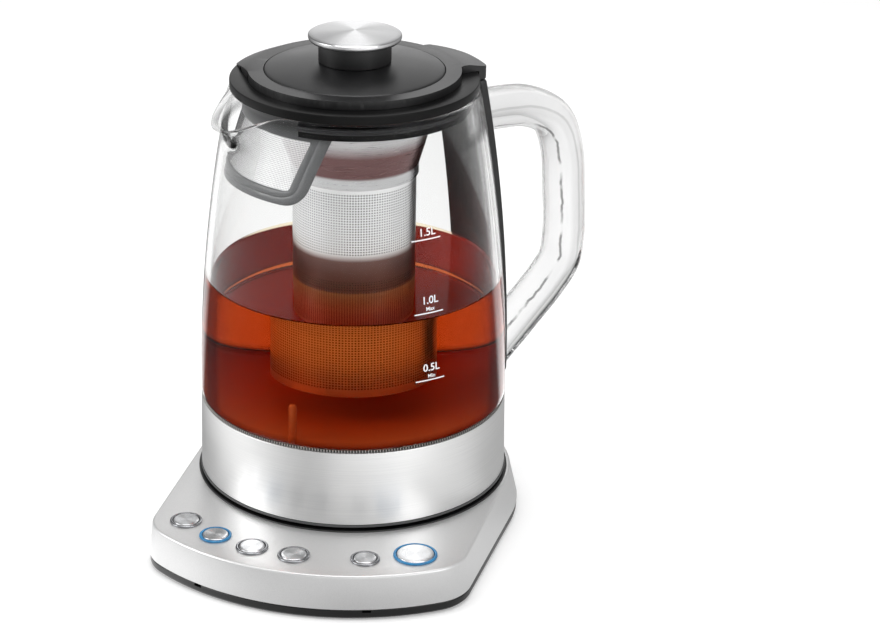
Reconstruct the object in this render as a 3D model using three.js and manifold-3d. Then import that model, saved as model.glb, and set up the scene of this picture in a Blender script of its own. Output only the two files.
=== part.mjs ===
// A glass tea maker: a jug with a lid and a tea basket, standing on a heated base with six buttons.
// Lengths are in millimetres and z is up. While it is built, the jug's axis is the z axis, the table
// is at z = 0 and the base's buttons face -y. At the end the model moves so that the origin is the
// middle of its bounding box at table height.

import * as THREE from 'three';
import { mergeVertices } from 'three/addons/utils/BufferGeometryUtils.js';
import Module from 'manifold-3d';

const wasm = await Module();
wasm.setup();

// Fits and fineness of round bodies
const wideTurn = 36;
const mediumTurn = 24;
const smallTurn = 16;
const tinyTurn = 10;
const clearance = 0.3;
const seatGap = 0.1;
const overrun = 4;
const mergeDistance = 0.0001;

// Main sizes: the base, the glass and all inside it are set off from the jug's steel band
const bandRadius = 73;
const bandHeight = 36;
const glassHeight = 149.3;

// Base: outline, plate and shell
const baseBorder = 6.8;
const baseFrontReach = 43;
const baseTaper = THREE.MathUtils.degToRad(2.8);
const baseCornerRadius = 22;
const footProud = 0.6;
const plateHeight = 4.3;
const plateSeam = 0.2;
const plateInset = 0.2;
const plateLowerInset = 1;
const plateBevelHeight = 1;
const shellHeight = 16.7;
const shellWall = 2.2;
const sideDraft = 3.6;
const topTaper = THREE.MathUtils.degToRad(1.4);
const frontDraft = 0.8;
const shellEdge = 2.2;
const recessInset = 7;
const recessDepth = 1.5;
const ventWidth = 4;
const ventHeight = 1.2;
const ventAngles = [-22.4, 18].map(THREE.MathUtils.degToRad);

// Base: feet, bosses and screws
const footRadius = 8;
const footRecess = 1.6;
const backFootInset = 13.8;
const backFootAngle = THREE.MathUtils.degToRad(45);
const bossRadius = 4;
const frontBossInset = 11.8;
const frontBossForward = 40;
const backBossInset = 9.8;
const backBossAngle = THREE.MathUtils.degToRad(25);
const screwRadius = 1.2;
const screwLength = 10;
const screwHeadRadius = 2.8;
const screwHeadHeight = 1.8;
const screwHeadSink = 0.2;

// Base: boards, switches and buttons
const boardStand = 3.5;
const boardThickness = 1.6;
const postRadius = 2.5;
const postInset = 7.3;
const postAngles = [-120.6, -96.6, -65.2].map(THREE.MathUtils.degToRad);
const boardInnerReach = 11.3;
const boardOuterReach = 5.7;
const boardMarginAngle = THREE.MathUtils.degToRad(6.5);
const powerBoardWidth = 62;
const powerBoardDepth = 36;
const powerBoardInset = 15.8;
const relayWidth = 20;
const relayDepth = 16;
const relayHeight = 7;
const relayOffset = 14;
const terminalWidth = 16;
const terminalDepth = 10;
const terminalHeight = 6;
const terminalOffset = 16;
const switchWidth = 6;
const switchHeight = 3;
const plungerRadius = 1.6;
const plungerHeight = 0.6;
const buttonTravel = 1.2;
const plungerGap = 0.2;
const buttonInset = 16.7;
const buttonStemRadius = 2.4;
const buttonFlange = 1.2;
const buttonFlangeHeight = 1.2;
const buttonEdge = 0.6;
const buttonProud = 0.5;
const buttonDome = 0.4;
const bezelProud = 1;
const bezelEdge = 0.4;
const bezelSleeve = 0.6;
const bezelBands = 0.75;
const rowBezelRadius = 7.4;
const offBezelRadius = 6.7;
const mainBezelRadius = 10;
const buttonPlaces = [
  { angle: -125.8, bezelRadius: rowBezelRadius },
  { angle: -114.2, bezelRadius: rowBezelRadius },
  { angle: -102.4, bezelRadius: rowBezelRadius },
  { angle: -90.6, bezelRadius: rowBezelRadius },
  { angle: -71.9, bezelRadius: offBezelRadius },
  { angle: -58.6, bezelRadius: mainBezelRadius },
];

// Base: round power connection and cord inlet
const towerRadius = 15;
const towerRise = 11.2;
const towerEdge = 1;
const towerFlangeWidth = 5;
const towerFlangeHeight = 2;
const towerRim = 3.8;
const towerSlotWidth = 3.2;
const towerBoreRadius = 3.2;
const towerSlotDepth = 14;
const contactWall = 0.5;
const contactHeight = 8;
const inletRadius = 5.6;
const inletFlangeWidth = 2;
const inletFlangeLength = 1.8;
const inletBoreRadius = 3.5;
const inletDepth = 6;
const inletHeight = 12;

// Jug: band, bottom and heater
const handleAngle = THREE.MathUtils.degToRad(43.8);
const jugGap = 2;
const bandTaper = 0.6;
const bandWall = 1;
const coverRimHeight = 1.3;
const coverRimProud = 0.4;
const coverThickness = 2;
const footRingInset = 4;
const footRingWidth = 4;
const connectorWall = 2;
const connectorRoom = 4;
const connectorGap = 1.2;
const connectorDrop = 2;
const connectorFlange = 6;
const contactRingSet = 1.5;
const contactPinRadius = 1.6;
const contactReach = 12.5;
const floorThickness = 1.2;
const floorFlangeHeight = 7;
const floorBandGap = 0.4;
const heaterInset = 28;
const heaterTubeRadius = 3.6;
const sealHeight = 1.4;
const sealWidth = 3.4;
const sensorInset = 18;
const sensorAngle = THREE.MathUtils.degToRad(-146.7);
const sensorRadius = 1.8;
const sensorRise = 18.2;
const sensorRoot = 10.8;
const sensorTip = 0.8;

// Jug: glass and spout
const glassWall = 3;
const glassNarrowing = 14.9;
const glassLip = 0.8;
const spoutReach = 14.2;
const spoutDrop = 9.5;
const spoutHeight = 26;
const spoutHalfAngle = THREE.MathUtils.degToRad(34);
const spoutPower = 1.5;
const spoutRisePower = 1.7;

// Jug: spine and handle
const spineHalfWidth = 21;
const spineThickness = 3.5;
const handleHalfHeight = 9.8;
const handleHalfWidth = 10.3;
const handleTopDrop = 22.5;
const handleLowRise = 1.3;
const handleReach = 45;

// Jug: collar, tongue and spout filter
const collarInset = 0.5;
const collarRingHeight = 4.2;
const collarWidth = 15.2;
const ledgeWidth = 3.5;
const ledgeDepth = 1;
const ledgeThickness = 1.6;
const skirtGap = 1.1;
const skirtWall = 1.8;
const skirtDepth = 8.5;
const ringPlate = 1.9;
const collarSealHeight = 3;
const collarSealWidth = 0.7;
const coverInset = 8.4;
const coverHeight = 3.8;
const coverBackEdge = 0.3;
const coverStepStart = THREE.MathUtils.degToRad(158);
const coverStepEnd = THREE.MathUtils.degToRad(134);
const tongueHalfWidth = 19.4;
const tongueOverhang = 5;
const tongueFrontCorner = 4;
const tongueBackHalfWidth = 16.8;
const tongueBackCorner = 16;
const tongueRoot = 4;
const tongueFall = 2.8;
const tongueSide = 5.2;
const filterTopAngle = THREE.MathUtils.degToRad(50);
const filterBottomAngle = THREE.MathUtils.degToRad(37);
const filterRim = 7.2;
const filterThickness = 2;
const filterSkirtGap = 2.4;
const filterGlassGap = 1.3;
const filterDrop = 39.5;
const filterStraight = 9;
const meshThickness = 0.5;

// Basket
const basketRimInset = 1.2;
const basketRimHeight = 1.3;
const basketWall = 0.8;
const funnelInset = 0.7;
const funnelWallHeight = 11.5;
const shoulderHeight = 4;
const shoulderInset = 1;
const neckDrop = 35.5;
const neckHeight = 4.5;
const tubeInset = 8.9;
const tubeFloorGap = 13.2;
const basketFloorSet = 1;

// Lid and knob
const lidInset = 0.6;
const lidEdge = 0.6;
const lidThickness = 3.3;
const lidRise = 3.5;
const spigotInset = 1.8;
const spigotWall = 2;
const spigotDepth = 7;
const lidSealWidth = 1.2;
const lidSealHeight = 5;
const stemRadius = 16.6;
const stemHeight = 9.6;
const stemBorder = 0.9;
const knobOverhang = 4.7;
const knobUndercut = 1;
const knobRimHeight = 1.9;
const knobEdge = 0.5;
const knobDome = 1.6;
const knobScrewRadius = 2.3;
const knobScrewLength = 14;
const knobScrewHeadRadius = 4.5;
const knobScrewHeadHeight = 2.1;
const knobScrewEnd = 1.2;

// Levels worked out from the sizes
const plateTop = footProud + plateHeight;
const shellBottom = plateTop + plateSeam;
const baseTop = shellBottom + shellHeight;
const recessFloor = baseTop - recessDepth;
const cavityTop = recessFloor - shellWall;
const boardBottom = plateTop + boardStand;
const boardTop = boardBottom + boardThickness;
const switchTop = boardTop + switchHeight + plungerHeight;
const towerTop = baseTop + towerRise;
const connectorTop = towerTop + connectorRoom;
const coverBottom = baseTop + jugGap;
const coverTop = coverBottom + coverThickness;
const bandBottom = coverBottom + coverRimHeight;
const bandTop = bandBottom + bandHeight;
const floorTop = bandTop - clearance;
const sealBottom = bandTop + seatGap;
const glassBottom = sealBottom + sealHeight + seatGap;
const glassTop = glassBottom + glassHeight;
const handleTopHeight = glassTop - handleTopDrop;
const handleLowHeight = glassBottom + handleLowRise;
const collarBottom = glassTop + clearance;
const collarTop = collarBottom + collarRingHeight;
const ledgeTop = collarTop - ledgeDepth;
const skirtBottom = collarBottom - skirtDepth;
const coverRingTop = collarTop + coverHeight;
const filterTop = collarTop - ledgeDepth - ringPlate - clearance;
const filterBottom = collarBottom - filterDrop;
const filterBend = filterTop - filterStraight;
const basketRimTop = ledgeTop + clearance + basketRimHeight;
const neckTop = glassTop - neckDrop;
const tubeBottom = floorTop + tubeFloorGap;
const lidBottom = basketRimTop + clearance;
const lidTop = lidBottom + lidThickness;
const lidMiddle = lidTop + lidRise;
const stemTop = lidMiddle + seatGap + stemHeight;

// Distances from the jug's axis worked out from the sizes
const baseHalfWidth = bandRadius + baseBorder;
const baseFrontRadius = bandRadius + baseFrontReach;
const recessRadius = bandRadius - recessInset;
const backFootReach = baseHalfWidth - backFootInset;
const frontBossReach = baseHalfWidth - frontBossInset;
const backBossReach = baseHalfWidth - backBossInset;
const buttonReach = baseFrontRadius - buttonInset;
const postReach = buttonReach - postInset;
const powerBoardBack = baseHalfWidth - powerBoardInset;
const towerFlangeRadius = towerRadius + towerFlangeWidth;
const towerSlotOuter = towerRadius - towerRim;
const towerSlotInner = towerSlotOuter - towerSlotWidth;
const inletFlangeRadius = inletRadius + inletFlangeWidth;
const bandTopRadius = bandRadius - bandTaper;
const footRingRadius = recessRadius - footRingInset;
const contactRingRadius = towerSlotInner + contactRingSet;
const heaterReach = bandRadius - heaterInset;
const sensorReach = bandRadius - sensorInset;
const glassMouthRadius = bandTopRadius - glassNarrowing;
const collarRadius = glassMouthRadius - collarInset;
const ledgeRadius = collarRadius - collarWidth;
const collarHoleRadius = ledgeRadius - ledgeWidth;
const skirtRadius = glassMouthRadius - glassWall - skirtGap;
const coverInnerRadius = ledgeRadius - clearance;
const coverRadius = collarRadius - coverInset;
const tongueReach = collarRadius + tongueOverhang;
const filterTopRadius = skirtRadius - filterSkirtGap;
const filterBottomRadius = glassRadius(filterBottom) - glassWall - filterGlassGap;
const basketRimRadius = ledgeRadius - basketRimInset;
const funnelRadius = collarHoleRadius - funnelInset;
const tubeRadius = funnelRadius - tubeInset;
const lidRadius = ledgeRadius - lidInset;
const lidFlatRadius = stemRadius + stemBorder;
const spigotRadius = funnelRadius - basketWall - spigotInset;
const knobRadius = stemRadius + knobOverhang;

// Turns any closed three.js geometry into a clean one: shared corners, no empty triangles, faces out
function closed(geometry) {
  const bare = geometry.clone();
  for (const name of Object.keys(bare.attributes)) {
    if (name !== 'position') bare.deleteAttribute(name);
  }
  const merged = mergeVertices(bare, mergeDistance);
  const position = merged.getAttribute('position');
  const corner = [new THREE.Vector3(), new THREE.Vector3(), new THREE.Vector3()];
  const triangles = [];
  let volume = 0;
  for (let i = 0; i < merged.index.count; i += 3) {
    const ids = [0, 1, 2].map((k) => merged.index.getX(i + k));
    if (ids[0] === ids[1] || ids[1] === ids[2] || ids[2] === ids[0]) continue;
    ids.forEach((id, k) => corner[k].fromBufferAttribute(position, id));
    volume += corner[0].dot(corner[1].clone().cross(corner[2]));
    triangles.push(ids);
  }
  if (volume < 0) triangles.forEach((ids) => ids.reverse());
  merged.setIndex(triangles.flat());
  return merged;
}

// Solids for joining and cutting, and back
function toSolid(geometry) {
  const clean = closed(geometry);
  const vertProperties = new Float32Array(clean.getAttribute('position').array);
  const triVerts = new Uint32Array(clean.index.array);
  return new wasm.Manifold(new wasm.Mesh({ numProp: 3, vertProperties, triVerts }));
}

function fromSolid(solid) {
  const mesh = solid.getMesh();
  const geometry = new THREE.BufferGeometry();
  geometry.setAttribute('position', new THREE.BufferAttribute(mesh.vertProperties, 3));
  geometry.setIndex(new THREE.BufferAttribute(mesh.triVerts, 1));
  return geometry;
}

function join(...bodies) {
  return fromSolid(bodies.map(toSolid).reduce((sum, body) => sum.add(body)));
}

function cut(body, ...tools) {
  return fromSolid(tools.map(toSolid).reduce((rest, tool) => rest.subtract(tool), toSolid(body)));
}

function overlapOf(first, second) {
  return fromSolid(toSolid(first).intersect(toSolid(second)));
}

// A body turned about the z axis from [radius, height] points, closed on the axis or on itself
function turned(profile, segments = wideTurn) {
  const points = profile.map(([radius, height]) => new THREE.Vector2(radius, height));
  const first = points[0];
  const last = points[points.length - 1];
  if (first.x !== 0 || last.x !== 0) points.push(first.clone());
  const geometry = new THREE.LatheGeometry(points, segments);
  geometry.rotateX(Math.PI / 2);
  return closed(geometry);
}

function disc(radius, bottom, top, segments = wideTurn) {
  return turned([[0, bottom], [radius, bottom], [radius, top], [0, top]], segments);
}

function tube(inner, outer, bottom, top, segments = wideTurn) {
  return turned([[inner, bottom], [outer, bottom], [outer, top], [inner, top]], segments);
}

// A disc standing upright on another place than the axis
function discAt(x, y, radius, bottom, top, segments = smallTurn) {
  return disc(radius, bottom, top, segments).translate(x, y, 0);
}

function boxBetween(low, high) {
  const geometry = new THREE.BoxGeometry(high[0] - low[0], high[1] - low[1], high[2] - low[2]);
  geometry.translate((low[0] + high[0]) / 2, (low[1] + high[1]) / 2, (low[2] + high[2]) / 2);
  return geometry;
}

function extruded(shape, bottom, top, curveSegments = 8) {
  const settings = { depth: top - bottom, bevelEnabled: false, curveSegments };
  return new THREE.ExtrudeGeometry(shape, settings).translate(0, 0, bottom);
}

// Points of an arc, without its last point
function arcPoints(x, y, radius, start, end, steps) {
  return Array.from({ length: steps }, (unused, i) => {
    const angle = start + ((end - start) * i) / steps;
    return new THREE.Vector2(x + radius * Math.cos(angle), y + radius * Math.sin(angle));
  });
}

// A solid through outlines that all have the same number of points
function loft(levels) {
  const count = levels[0].outline.length;
  const positions = levels.flatMap(({ z, outline }) => outline.flatMap((p) => [p.x, p.y, z]));
  const index = [];
  for (let level = 0; level + 1 < levels.length; level += 1) {
    for (let i = 0; i < count; i += 1) {
      const next = (i + 1) % count;
      const low = level * count;
      const high = low + count;
      index.push(low + i, low + next, high + next, low + i, high + next, high + i);
    }
  }
  const lid = THREE.ShapeUtils.triangulateShape(levels[0].outline, []);
  const top = (levels.length - 1) * count;
  lid.forEach(([a, b, c]) => index.push(c, b, a, top + a, top + b, top + c));
  const geometry = new THREE.BufferGeometry();
  geometry.setAttribute('position', new THREE.Float32BufferAttribute(positions, 3));
  geometry.setIndex(index);
  return closed(geometry);
}

// Materials: one function for each finish
const finish = (color, roughness, metalness) => () =>
  new THREE.MeshStandardMaterial({ color, roughness, metalness, flatShading: true });
const clearMaterial = (color) => () =>
  new THREE.MeshStandardMaterial({ color, roughness: 0.05, metalness: 0, transparent: true, opacity: 0.35 });
const brushedSteel = finish(0xc9c9cb, 0.3, 1);
const polishedSteel = finish(0xd8d8da, 0.12, 1);
const silverShell = finish(0xbdbec0, 0.38, 0.8);
const blackPlastic = finish(0x1c1c1d, 0.45, 0);
const greyPlastic = finish(0x77797b, 0.5, 0);
const rubber = finish(0x222224, 0.85, 0);
const brass = finish(0xb8904a, 0.35, 1);
const board = finish(0x1f5a35, 0.55, 0);
const blueLight = finish(0x2f8fc4, 0.25, 0);
const silicone = finish(0x2b2b2d, 0.6, 0);
const screwSteel = finish(0x8f9092, 0.35, 1);
const clearGlass = clearMaterial(0xf2f6f6);
const clearPlastic = clearMaterial(0xf4f6f8);

// Groups: the base stands still, the jug lifts off it, and the basket and lid lift out of the jug
const teaMaker = new THREE.Group();
const base = new THREE.Group();
const jug = new THREE.Group();
jug.rotation.z = handleAngle;
teaMaker.add(base, jug);

function place(parent, name, geometry, material) {
  const mesh = new THREE.Mesh(closed(geometry), material());
  mesh.name = name;
  parent.add(mesh);
}

// Base outline: a round back, sides that taper forward, round corners and a front arc about the axis
function cornerCentre(sideInset, frontInset, taper) {
  const corner = baseCornerRadius - frontInset;
  const across = baseHalfWidth - sideInset - corner;
  const along = Math.sqrt((baseFrontRadius - frontInset - corner) ** 2 - across ** 2);
  const x = across * Math.cos(taper) - along * Math.sin(taper);
  const y = -across * Math.sin(taper) - along * Math.cos(taper);
  return [x, y];
}

function baseOutline(sideInset, frontInset, taper) {
  const half = baseHalfWidth - sideInset;
  const front = baseFrontRadius - frontInset;
  const corner = baseCornerRadius - frontInset;
  const [x, y] = cornerCentre(sideInset, frontInset, taper);
  const turn = Math.atan2(-y, x);
  return [
    ...arcPoints(0, 0, half, -taper, Math.PI + taper, 20),
    ...arcPoints(-x, y, corner, Math.PI + taper, Math.PI + turn, 5),
    ...arcPoints(0, 0, front, Math.PI + turn, 2 * Math.PI - turn, 14),
    ...arcPoints(x, y, corner, 2 * Math.PI - turn, 2 * Math.PI - taper, 5),
  ];
}

const onCircle = (reach, angle) => [reach * Math.cos(angle), reach * Math.sin(angle)];
const mirrored = ([x, y]) => [[x, y], [-x, y]];
const footPlaces = [
  ...mirrored(cornerCentre(0, 0, baseTaper)),
  ...mirrored(onCircle(backFootReach, backFootAngle)),
];
const bossPlaces = [
  ...mirrored([frontBossReach, -frontBossForward]),
  ...mirrored(onCircle(backBossReach, backBossAngle)),
];
const powerBoardPosts = mirrored([
  powerBoardWidth / 2 - postRadius,
  powerBoardBack - powerBoardDepth / 2,
]);
const boardPosts = [...postAngles.map((angle) => onCircle(postReach, angle)), ...powerBoardPosts];
const buttons = buttonPlaces.map(({ angle, bezelRadius }) => {
  const [x, y] = onCircle(buttonReach, THREE.MathUtils.degToRad(angle));
  const capRadius = bezelRadius - 2 * bezelBands;
  return { x, y, angle: THREE.MathUtils.degToRad(angle), bezelRadius, capRadius };
});
const buttonHole = (capRadius) => capRadius + clearance + bezelSleeve + clearance;

function basePlate() {
  const body = loft([
    { z: footProud, outline: baseOutline(plateLowerInset, plateLowerInset, baseTaper) },
    { z: footProud + plateBevelHeight, outline: baseOutline(plateInset, plateInset, baseTaper) },
    { z: plateTop, outline: baseOutline(plateInset, plateInset, baseTaper) },
  ]);
  const posts = boardPosts.map(([x, y]) =>
    discAt(x, y, postRadius, plateTop - overrun / 2, boardBottom - seatGap, tinyTurn));
  const footHoles = footPlaces.map(([x, y]) =>
    discAt(x, y, footRadius + clearance, footProud - overrun, footProud + footRecess));
  const screwHoles = bossPlaces.flatMap(([x, y]) => [
    discAt(x, y, screwRadius + clearance, footProud - overrun, plateTop + overrun, tinyTurn),
    discAt(x, y, screwHeadRadius + clearance, footProud - overrun, headSeat() + seatGap, tinyTurn),
  ]);
  const vents = ventAngles.map((angle) =>
    boxBetween(
      [-ventWidth / 2, -baseFrontRadius - overrun, plateTop - ventHeight],
      [ventWidth / 2, -baseFrontRadius + overrun, plateTop + overrun],
    ).rotateZ(angle));
  return cut(join(body, ...posts), ...footHoles, ...screwHoles, ...vents);
}

function headSeat() {
  return footProud + screwHeadSink + screwHeadHeight;
}

function baseShell() {
  const edgeSteps = 3;
  const outerLevels = [{ z: shellBottom, outline: baseOutline(0, 0, baseTaper) }];
  for (let i = 0; i <= edgeSteps; i += 1) {
    const turn = (i / edgeSteps) * (Math.PI / 2);
    const inset = shellEdge * (1 - Math.cos(turn));
    const z = baseTop - shellEdge * (1 - Math.sin(turn));
    outerLevels.push({ z, outline: baseOutline(sideDraft + inset, frontDraft + inset, topTaper) });
  }
  const cavity = loft([
    { z: shellBottom - overrun, outline: baseOutline(shellWall, shellWall, baseTaper) },
    { z: cavityTop, outline: baseOutline(sideDraft + shellWall, frontDraft + shellWall, topTaper) },
  ]);
  const bosses = bossPlaces.map(([x, y]) =>
    discAt(x, y, bossRadius, plateTop + plateSeam, cavityTop + shellWall / 2, tinyTurn));
  const holes = [
    disc(recessRadius, recessFloor, baseTop + overrun),
    disc(towerRadius + clearance, shellBottom, baseTop + overrun, mediumTurn),
    ...buttons.map(({ x, y, capRadius }) =>
      discAt(x, y, buttonHole(capRadius), cavityTop - overrun, baseTop + overrun)),
    ...bossPlaces.map(([x, y]) =>
      discAt(x, y, screwRadius + clearance, shellBottom - overrun, headSeat() + screwLength + clearance, tinyTurn)),
    inletRod(inletRadius + clearance, baseHalfWidth - shellWall - overrun, baseHalfWidth + overrun),
  ];
  return cut(join(cut(loft(outerLevels), cavity), ...bosses), ...holes);
}

// A round rod along y at the cord inlet's place
function inletRod(radius, from, to) {
  return disc(radius, from, to, smallTurn).rotateX(-Math.PI / 2).translate(0, 0, inletHeight);
}

function baseScrew([x, y]) {
  const top = headSeat() + screwLength;
  const head = discAt(x, y, screwHeadRadius, footProud + screwHeadSink, headSeat(), tinyTurn);
  return join(head, discAt(x, y, screwRadius, headSeat() - seatGap, top, tinyTurn));
}

function controlBoard() {
  const angles = buttons.map((button) => button.angle);
  const start = Math.min(...angles) - boardMarginAngle;
  const end = Math.max(...angles) + boardMarginAngle;
  const shape = new THREE.Shape();
  shape.absarc(0, 0, buttonReach + boardOuterReach, start, end, false);
  shape.absarc(0, 0, buttonReach - boardInnerReach, end, start, true);
  return extruded(shape, boardBottom, boardTop, 7);
}

function powerBoard() {
  const front = powerBoardBack - powerBoardDepth;
  const middle = powerBoardBack - powerBoardDepth / 2;
  const sheet = boxBetween([-powerBoardWidth / 2, front, boardBottom], [powerBoardWidth / 2, powerBoardBack, boardTop]);
  const relay = boxBetween(
    [relayOffset - relayWidth / 2, middle - relayDepth / 2, boardTop - seatGap],
    [relayOffset + relayWidth / 2, middle + relayDepth / 2, boardTop + relayHeight],
  );
  const terminal = boxBetween(
    [-terminalOffset - terminalWidth / 2, middle, boardTop - seatGap],
    [-terminalOffset + terminalWidth / 2, middle + terminalDepth, boardTop + terminalHeight],
  );
  return join(sheet, relay, terminal);
}

function tactSwitch({ x, y, angle }) {
  const half = switchWidth / 2;
  const body = boxBetween([-half, -half, boardTop + seatGap], [half, half, boardTop + switchHeight]);
  const plunger = disc(plungerRadius, boardTop + switchHeight - seatGap, switchTop, tinyTurn);
  return join(body, plunger).rotateZ(angle).translate(x, y, 0);
}

function buttonCap({ x, y, capRadius }) {
  const stemBottom = switchTop + buttonTravel + plungerGap;
  const flangeTop = cavityTop - clearance;
  const flangeBottom = flangeTop - buttonFlangeHeight;
  const capTop = baseTop + bezelProud + buttonProud;
  return turned([
    [0, stemBottom],
    [buttonStemRadius, stemBottom],
    [buttonStemRadius, flangeBottom],
    [capRadius + buttonFlange, flangeBottom],
    [capRadius + buttonFlange, flangeTop],
    [capRadius, flangeTop],
    [capRadius, capTop - buttonEdge],
    [capRadius - buttonEdge, capTop],
    [0, capTop + buttonDome],
  ], smallTurn).translate(x, y, 0);
}

function bezel({ x, y, capRadius, bezelRadius }) {
  const inner = capRadius + clearance;
  const sleeve = inner + bezelSleeve;
  const top = baseTop + bezelProud;
  return turned([
    [inner, cavityTop],
    [sleeve, cavityTop],
    [sleeve, baseTop + seatGap],
    [bezelRadius, baseTop + seatGap],
    [bezelRadius, top - bezelEdge],
    [bezelRadius - bezelEdge, top],
    [inner, top],
  ], smallTurn).translate(x, y, 0);
}

function powerTower() {
  const bottom = plateTop + seatGap;
  const slotBottom = towerTop - towerSlotDepth;
  return turned([
    [0, bottom],
    [towerFlangeRadius, bottom],
    [towerFlangeRadius, bottom + towerFlangeHeight],
    [towerRadius, bottom + towerFlangeHeight],
    [towerRadius, towerTop - towerEdge],
    [towerRadius - towerEdge, towerTop],
    [towerSlotOuter, towerTop],
    [towerSlotOuter, slotBottom],
    [towerSlotInner, slotBottom],
    [towerSlotInner, towerTop],
    [towerBoreRadius, towerTop],
    [towerBoreRadius, slotBottom],
    [0, slotBottom],
  ], mediumTurn);
}

// A contact sleeve standing in the tower, against the wall of the given radius
function towerContact(wallRadius) {
  const bottom = towerTop - towerSlotDepth + clearance;
  const outer = wallRadius - clearance;
  return tube(outer - contactWall, outer, bottom, bottom + contactHeight, smallTurn);
}

function cordInlet() {
  const flangeStart = baseHalfWidth + clearance;
  const flangeEnd = flangeStart + inletFlangeLength;
  const sleeveStart = flangeStart - inletDepth;
  const flange = inletRod(inletFlangeRadius, flangeStart, flangeEnd);
  const sleeve = inletRod(inletRadius, sleeveStart, flangeEnd);
  return cut(join(flange, sleeve), inletRod(inletBoreRadius, sleeveStart - overrun, flangeEnd + overrun));
}

place(base, 'base_plate', basePlate(), blackPlastic);
place(base, 'base_shell', baseShell(), silverShell);
footPlaces.forEach(([x, y], i) => {
  const foot = discAt(x, y, footRadius, 0, footProud + footRecess - seatGap);
  place(base, `foot_${i + 1}`, foot, rubber);
});
bossPlaces.forEach((at, i) => place(base, `base_screw_${i + 1}`, baseScrew(at), screwSteel));
place(base, 'control_board', controlBoard(), board);
place(base, 'power_board', powerBoard(), board);
buttons.forEach((button, i) => {
  place(base, `switch_${i + 1}`, tactSwitch(button), blackPlastic);
  place(base, `button_${i + 1}`, buttonCap(button), polishedSteel);
  const lit = i === 1 || i === 5;
  place(base, `bezel_${i + 1}`, bezel(button), lit ? blueLight : brushedSteel);
});
place(base, 'power_tower', powerTower(), blackPlastic);
place(base, 'tower_contact_ring', towerContact(towerSlotOuter), brass);
place(base, 'tower_contact_sleeve', towerContact(towerBoreRadius), brass);
place(base, 'cord_inlet', cordInlet(), rubber);

// Jug bottom
function steelBand() {
  return turned([
    [bandRadius - bandWall, bandBottom],
    [bandRadius, bandBottom],
    [bandTopRadius, bandTop],
    [bandTopRadius - bandWall, bandTop],
  ]);
}

function bottomCover() {
  const rimRadius = bandRadius + coverRimProud;
  const plugRadius = bandRadius - bandWall - clearance;
  const holeRadius = towerRadius + connectorGap + connectorWall + clearance;
  const rimTop = bandBottom - seatGap;
  const footBottom = recessFloor + clearance;
  return turned([
    [holeRadius, coverBottom],
    [footRingRadius - footRingWidth, coverBottom],
    [footRingRadius - footRingWidth, footBottom],
    [footRingRadius, footBottom],
    [footRingRadius, coverBottom],
    [rimRadius, coverBottom],
    [rimRadius, rimTop],
    [plugRadius, rimTop],
    [plugRadius, coverTop],
    [holeRadius, coverTop],
  ]);
}

function jugConnector() {
  const inner = towerRadius + connectorGap;
  const outer = inner + connectorWall;
  const roof = connectorTop - connectorWall;
  const flangeBottom = coverTop + seatGap;
  return turned([
    [0, roof],
    [inner, roof],
    [inner, coverTop - connectorDrop],
    [outer, coverTop - connectorDrop],
    [outer, flangeBottom],
    [outer + connectorFlange, flangeBottom],
    [outer + connectorFlange, flangeBottom + connectorWall],
    [outer, flangeBottom + connectorWall],
    [outer, connectorTop],
    [0, connectorTop],
  ], mediumTurn);
}

function jugContacts() {
  const top = connectorTop - connectorWall - clearance;
  const bottom = towerTop - contactReach;
  place(jug, 'jug_contact_ring', tube(contactRingRadius - contactWall, contactRingRadius, bottom, top, smallTurn), brass);
  place(jug, 'jug_contact_pin', disc(contactPinRadius, bottom, top, tinyTurn), brass);
}

function floorPlate() {
  const radius = bandTopRadius - bandWall - floorBandGap;
  const bottom = floorTop - floorThickness;
  const flangeBottom = bottom - floorFlangeHeight;
  const plate = turned([
    [0, bottom],
    [radius - floorThickness, bottom],
    [radius - floorThickness, flangeBottom],
    [radius, flangeBottom],
    [radius, floorTop],
    [0, floorTop],
  ]);
  const [x, y] = onCircle(sensorReach, sensorAngle);
  return cut(plate, discAt(x, y, sensorRadius + clearance, bottom - overrun, floorTop + overrun, tinyTurn));
}

function heatingRing() {
  const middle = floorTop - floorThickness - seatGap - heaterTubeRadius;
  const sides = 7;
  const profile = arcPoints(heaterReach, middle, heaterTubeRadius, 0, 2 * Math.PI, sides);
  return turned(profile.map((p) => [p.x, p.y]), mediumTurn);
}

function temperatureSensor() {
  const bottom = floorTop - sensorRoot;
  const top = floorTop + sensorRise;
  const [x, y] = onCircle(sensorReach, sensorAngle);
  return turned([
    [0, bottom],
    [sensorRadius, bottom],
    [sensorRadius, top - sensorTip],
    [sensorRadius - sensorTip, top],
    [0, top],
  ], tinyTurn).translate(x, y, 0);
}

place(jug, 'steel_band', steelBand(), brushedSteel);
place(jug, 'bottom_cover', bottomCover(), greyPlastic);
place(jug, 'jug_connector', jugConnector(), blackPlastic);
jugContacts();
place(jug, 'floor_plate', floorPlate(), brushedSteel);
place(jug, 'heating_ring', heatingRing(), screwSteel);
const sealInner = bandTopRadius - sealWidth;
place(jug, 'seal_ring', tube(sealInner, bandTopRadius - seatGap, sealBottom, sealBottom + sealHeight), silicone);
place(jug, 'temperature_sensor', temperatureSensor(), polishedSteel);

// Glass: a parabola in section, widest at the bottom, with a spout pulled out of its mouth at -x
function glassRadius(height) {
  const share = (height - glassBottom) / (glassTop - glassBottom);
  return bandTopRadius - (bandTopRadius - glassMouthRadius) * share ** 2;
}

const glassShares = [1, 0.96, 0.92, 0.88, 0.82, 0.64, 0.43, 0.22, 0];

function glassProfile(offset) {
  return glassShares.map((share) => {
    const height = glassBottom + (glassTop - glassBottom) * share;
    return [glassRadius(height) + offset, height];
  });
}

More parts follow.
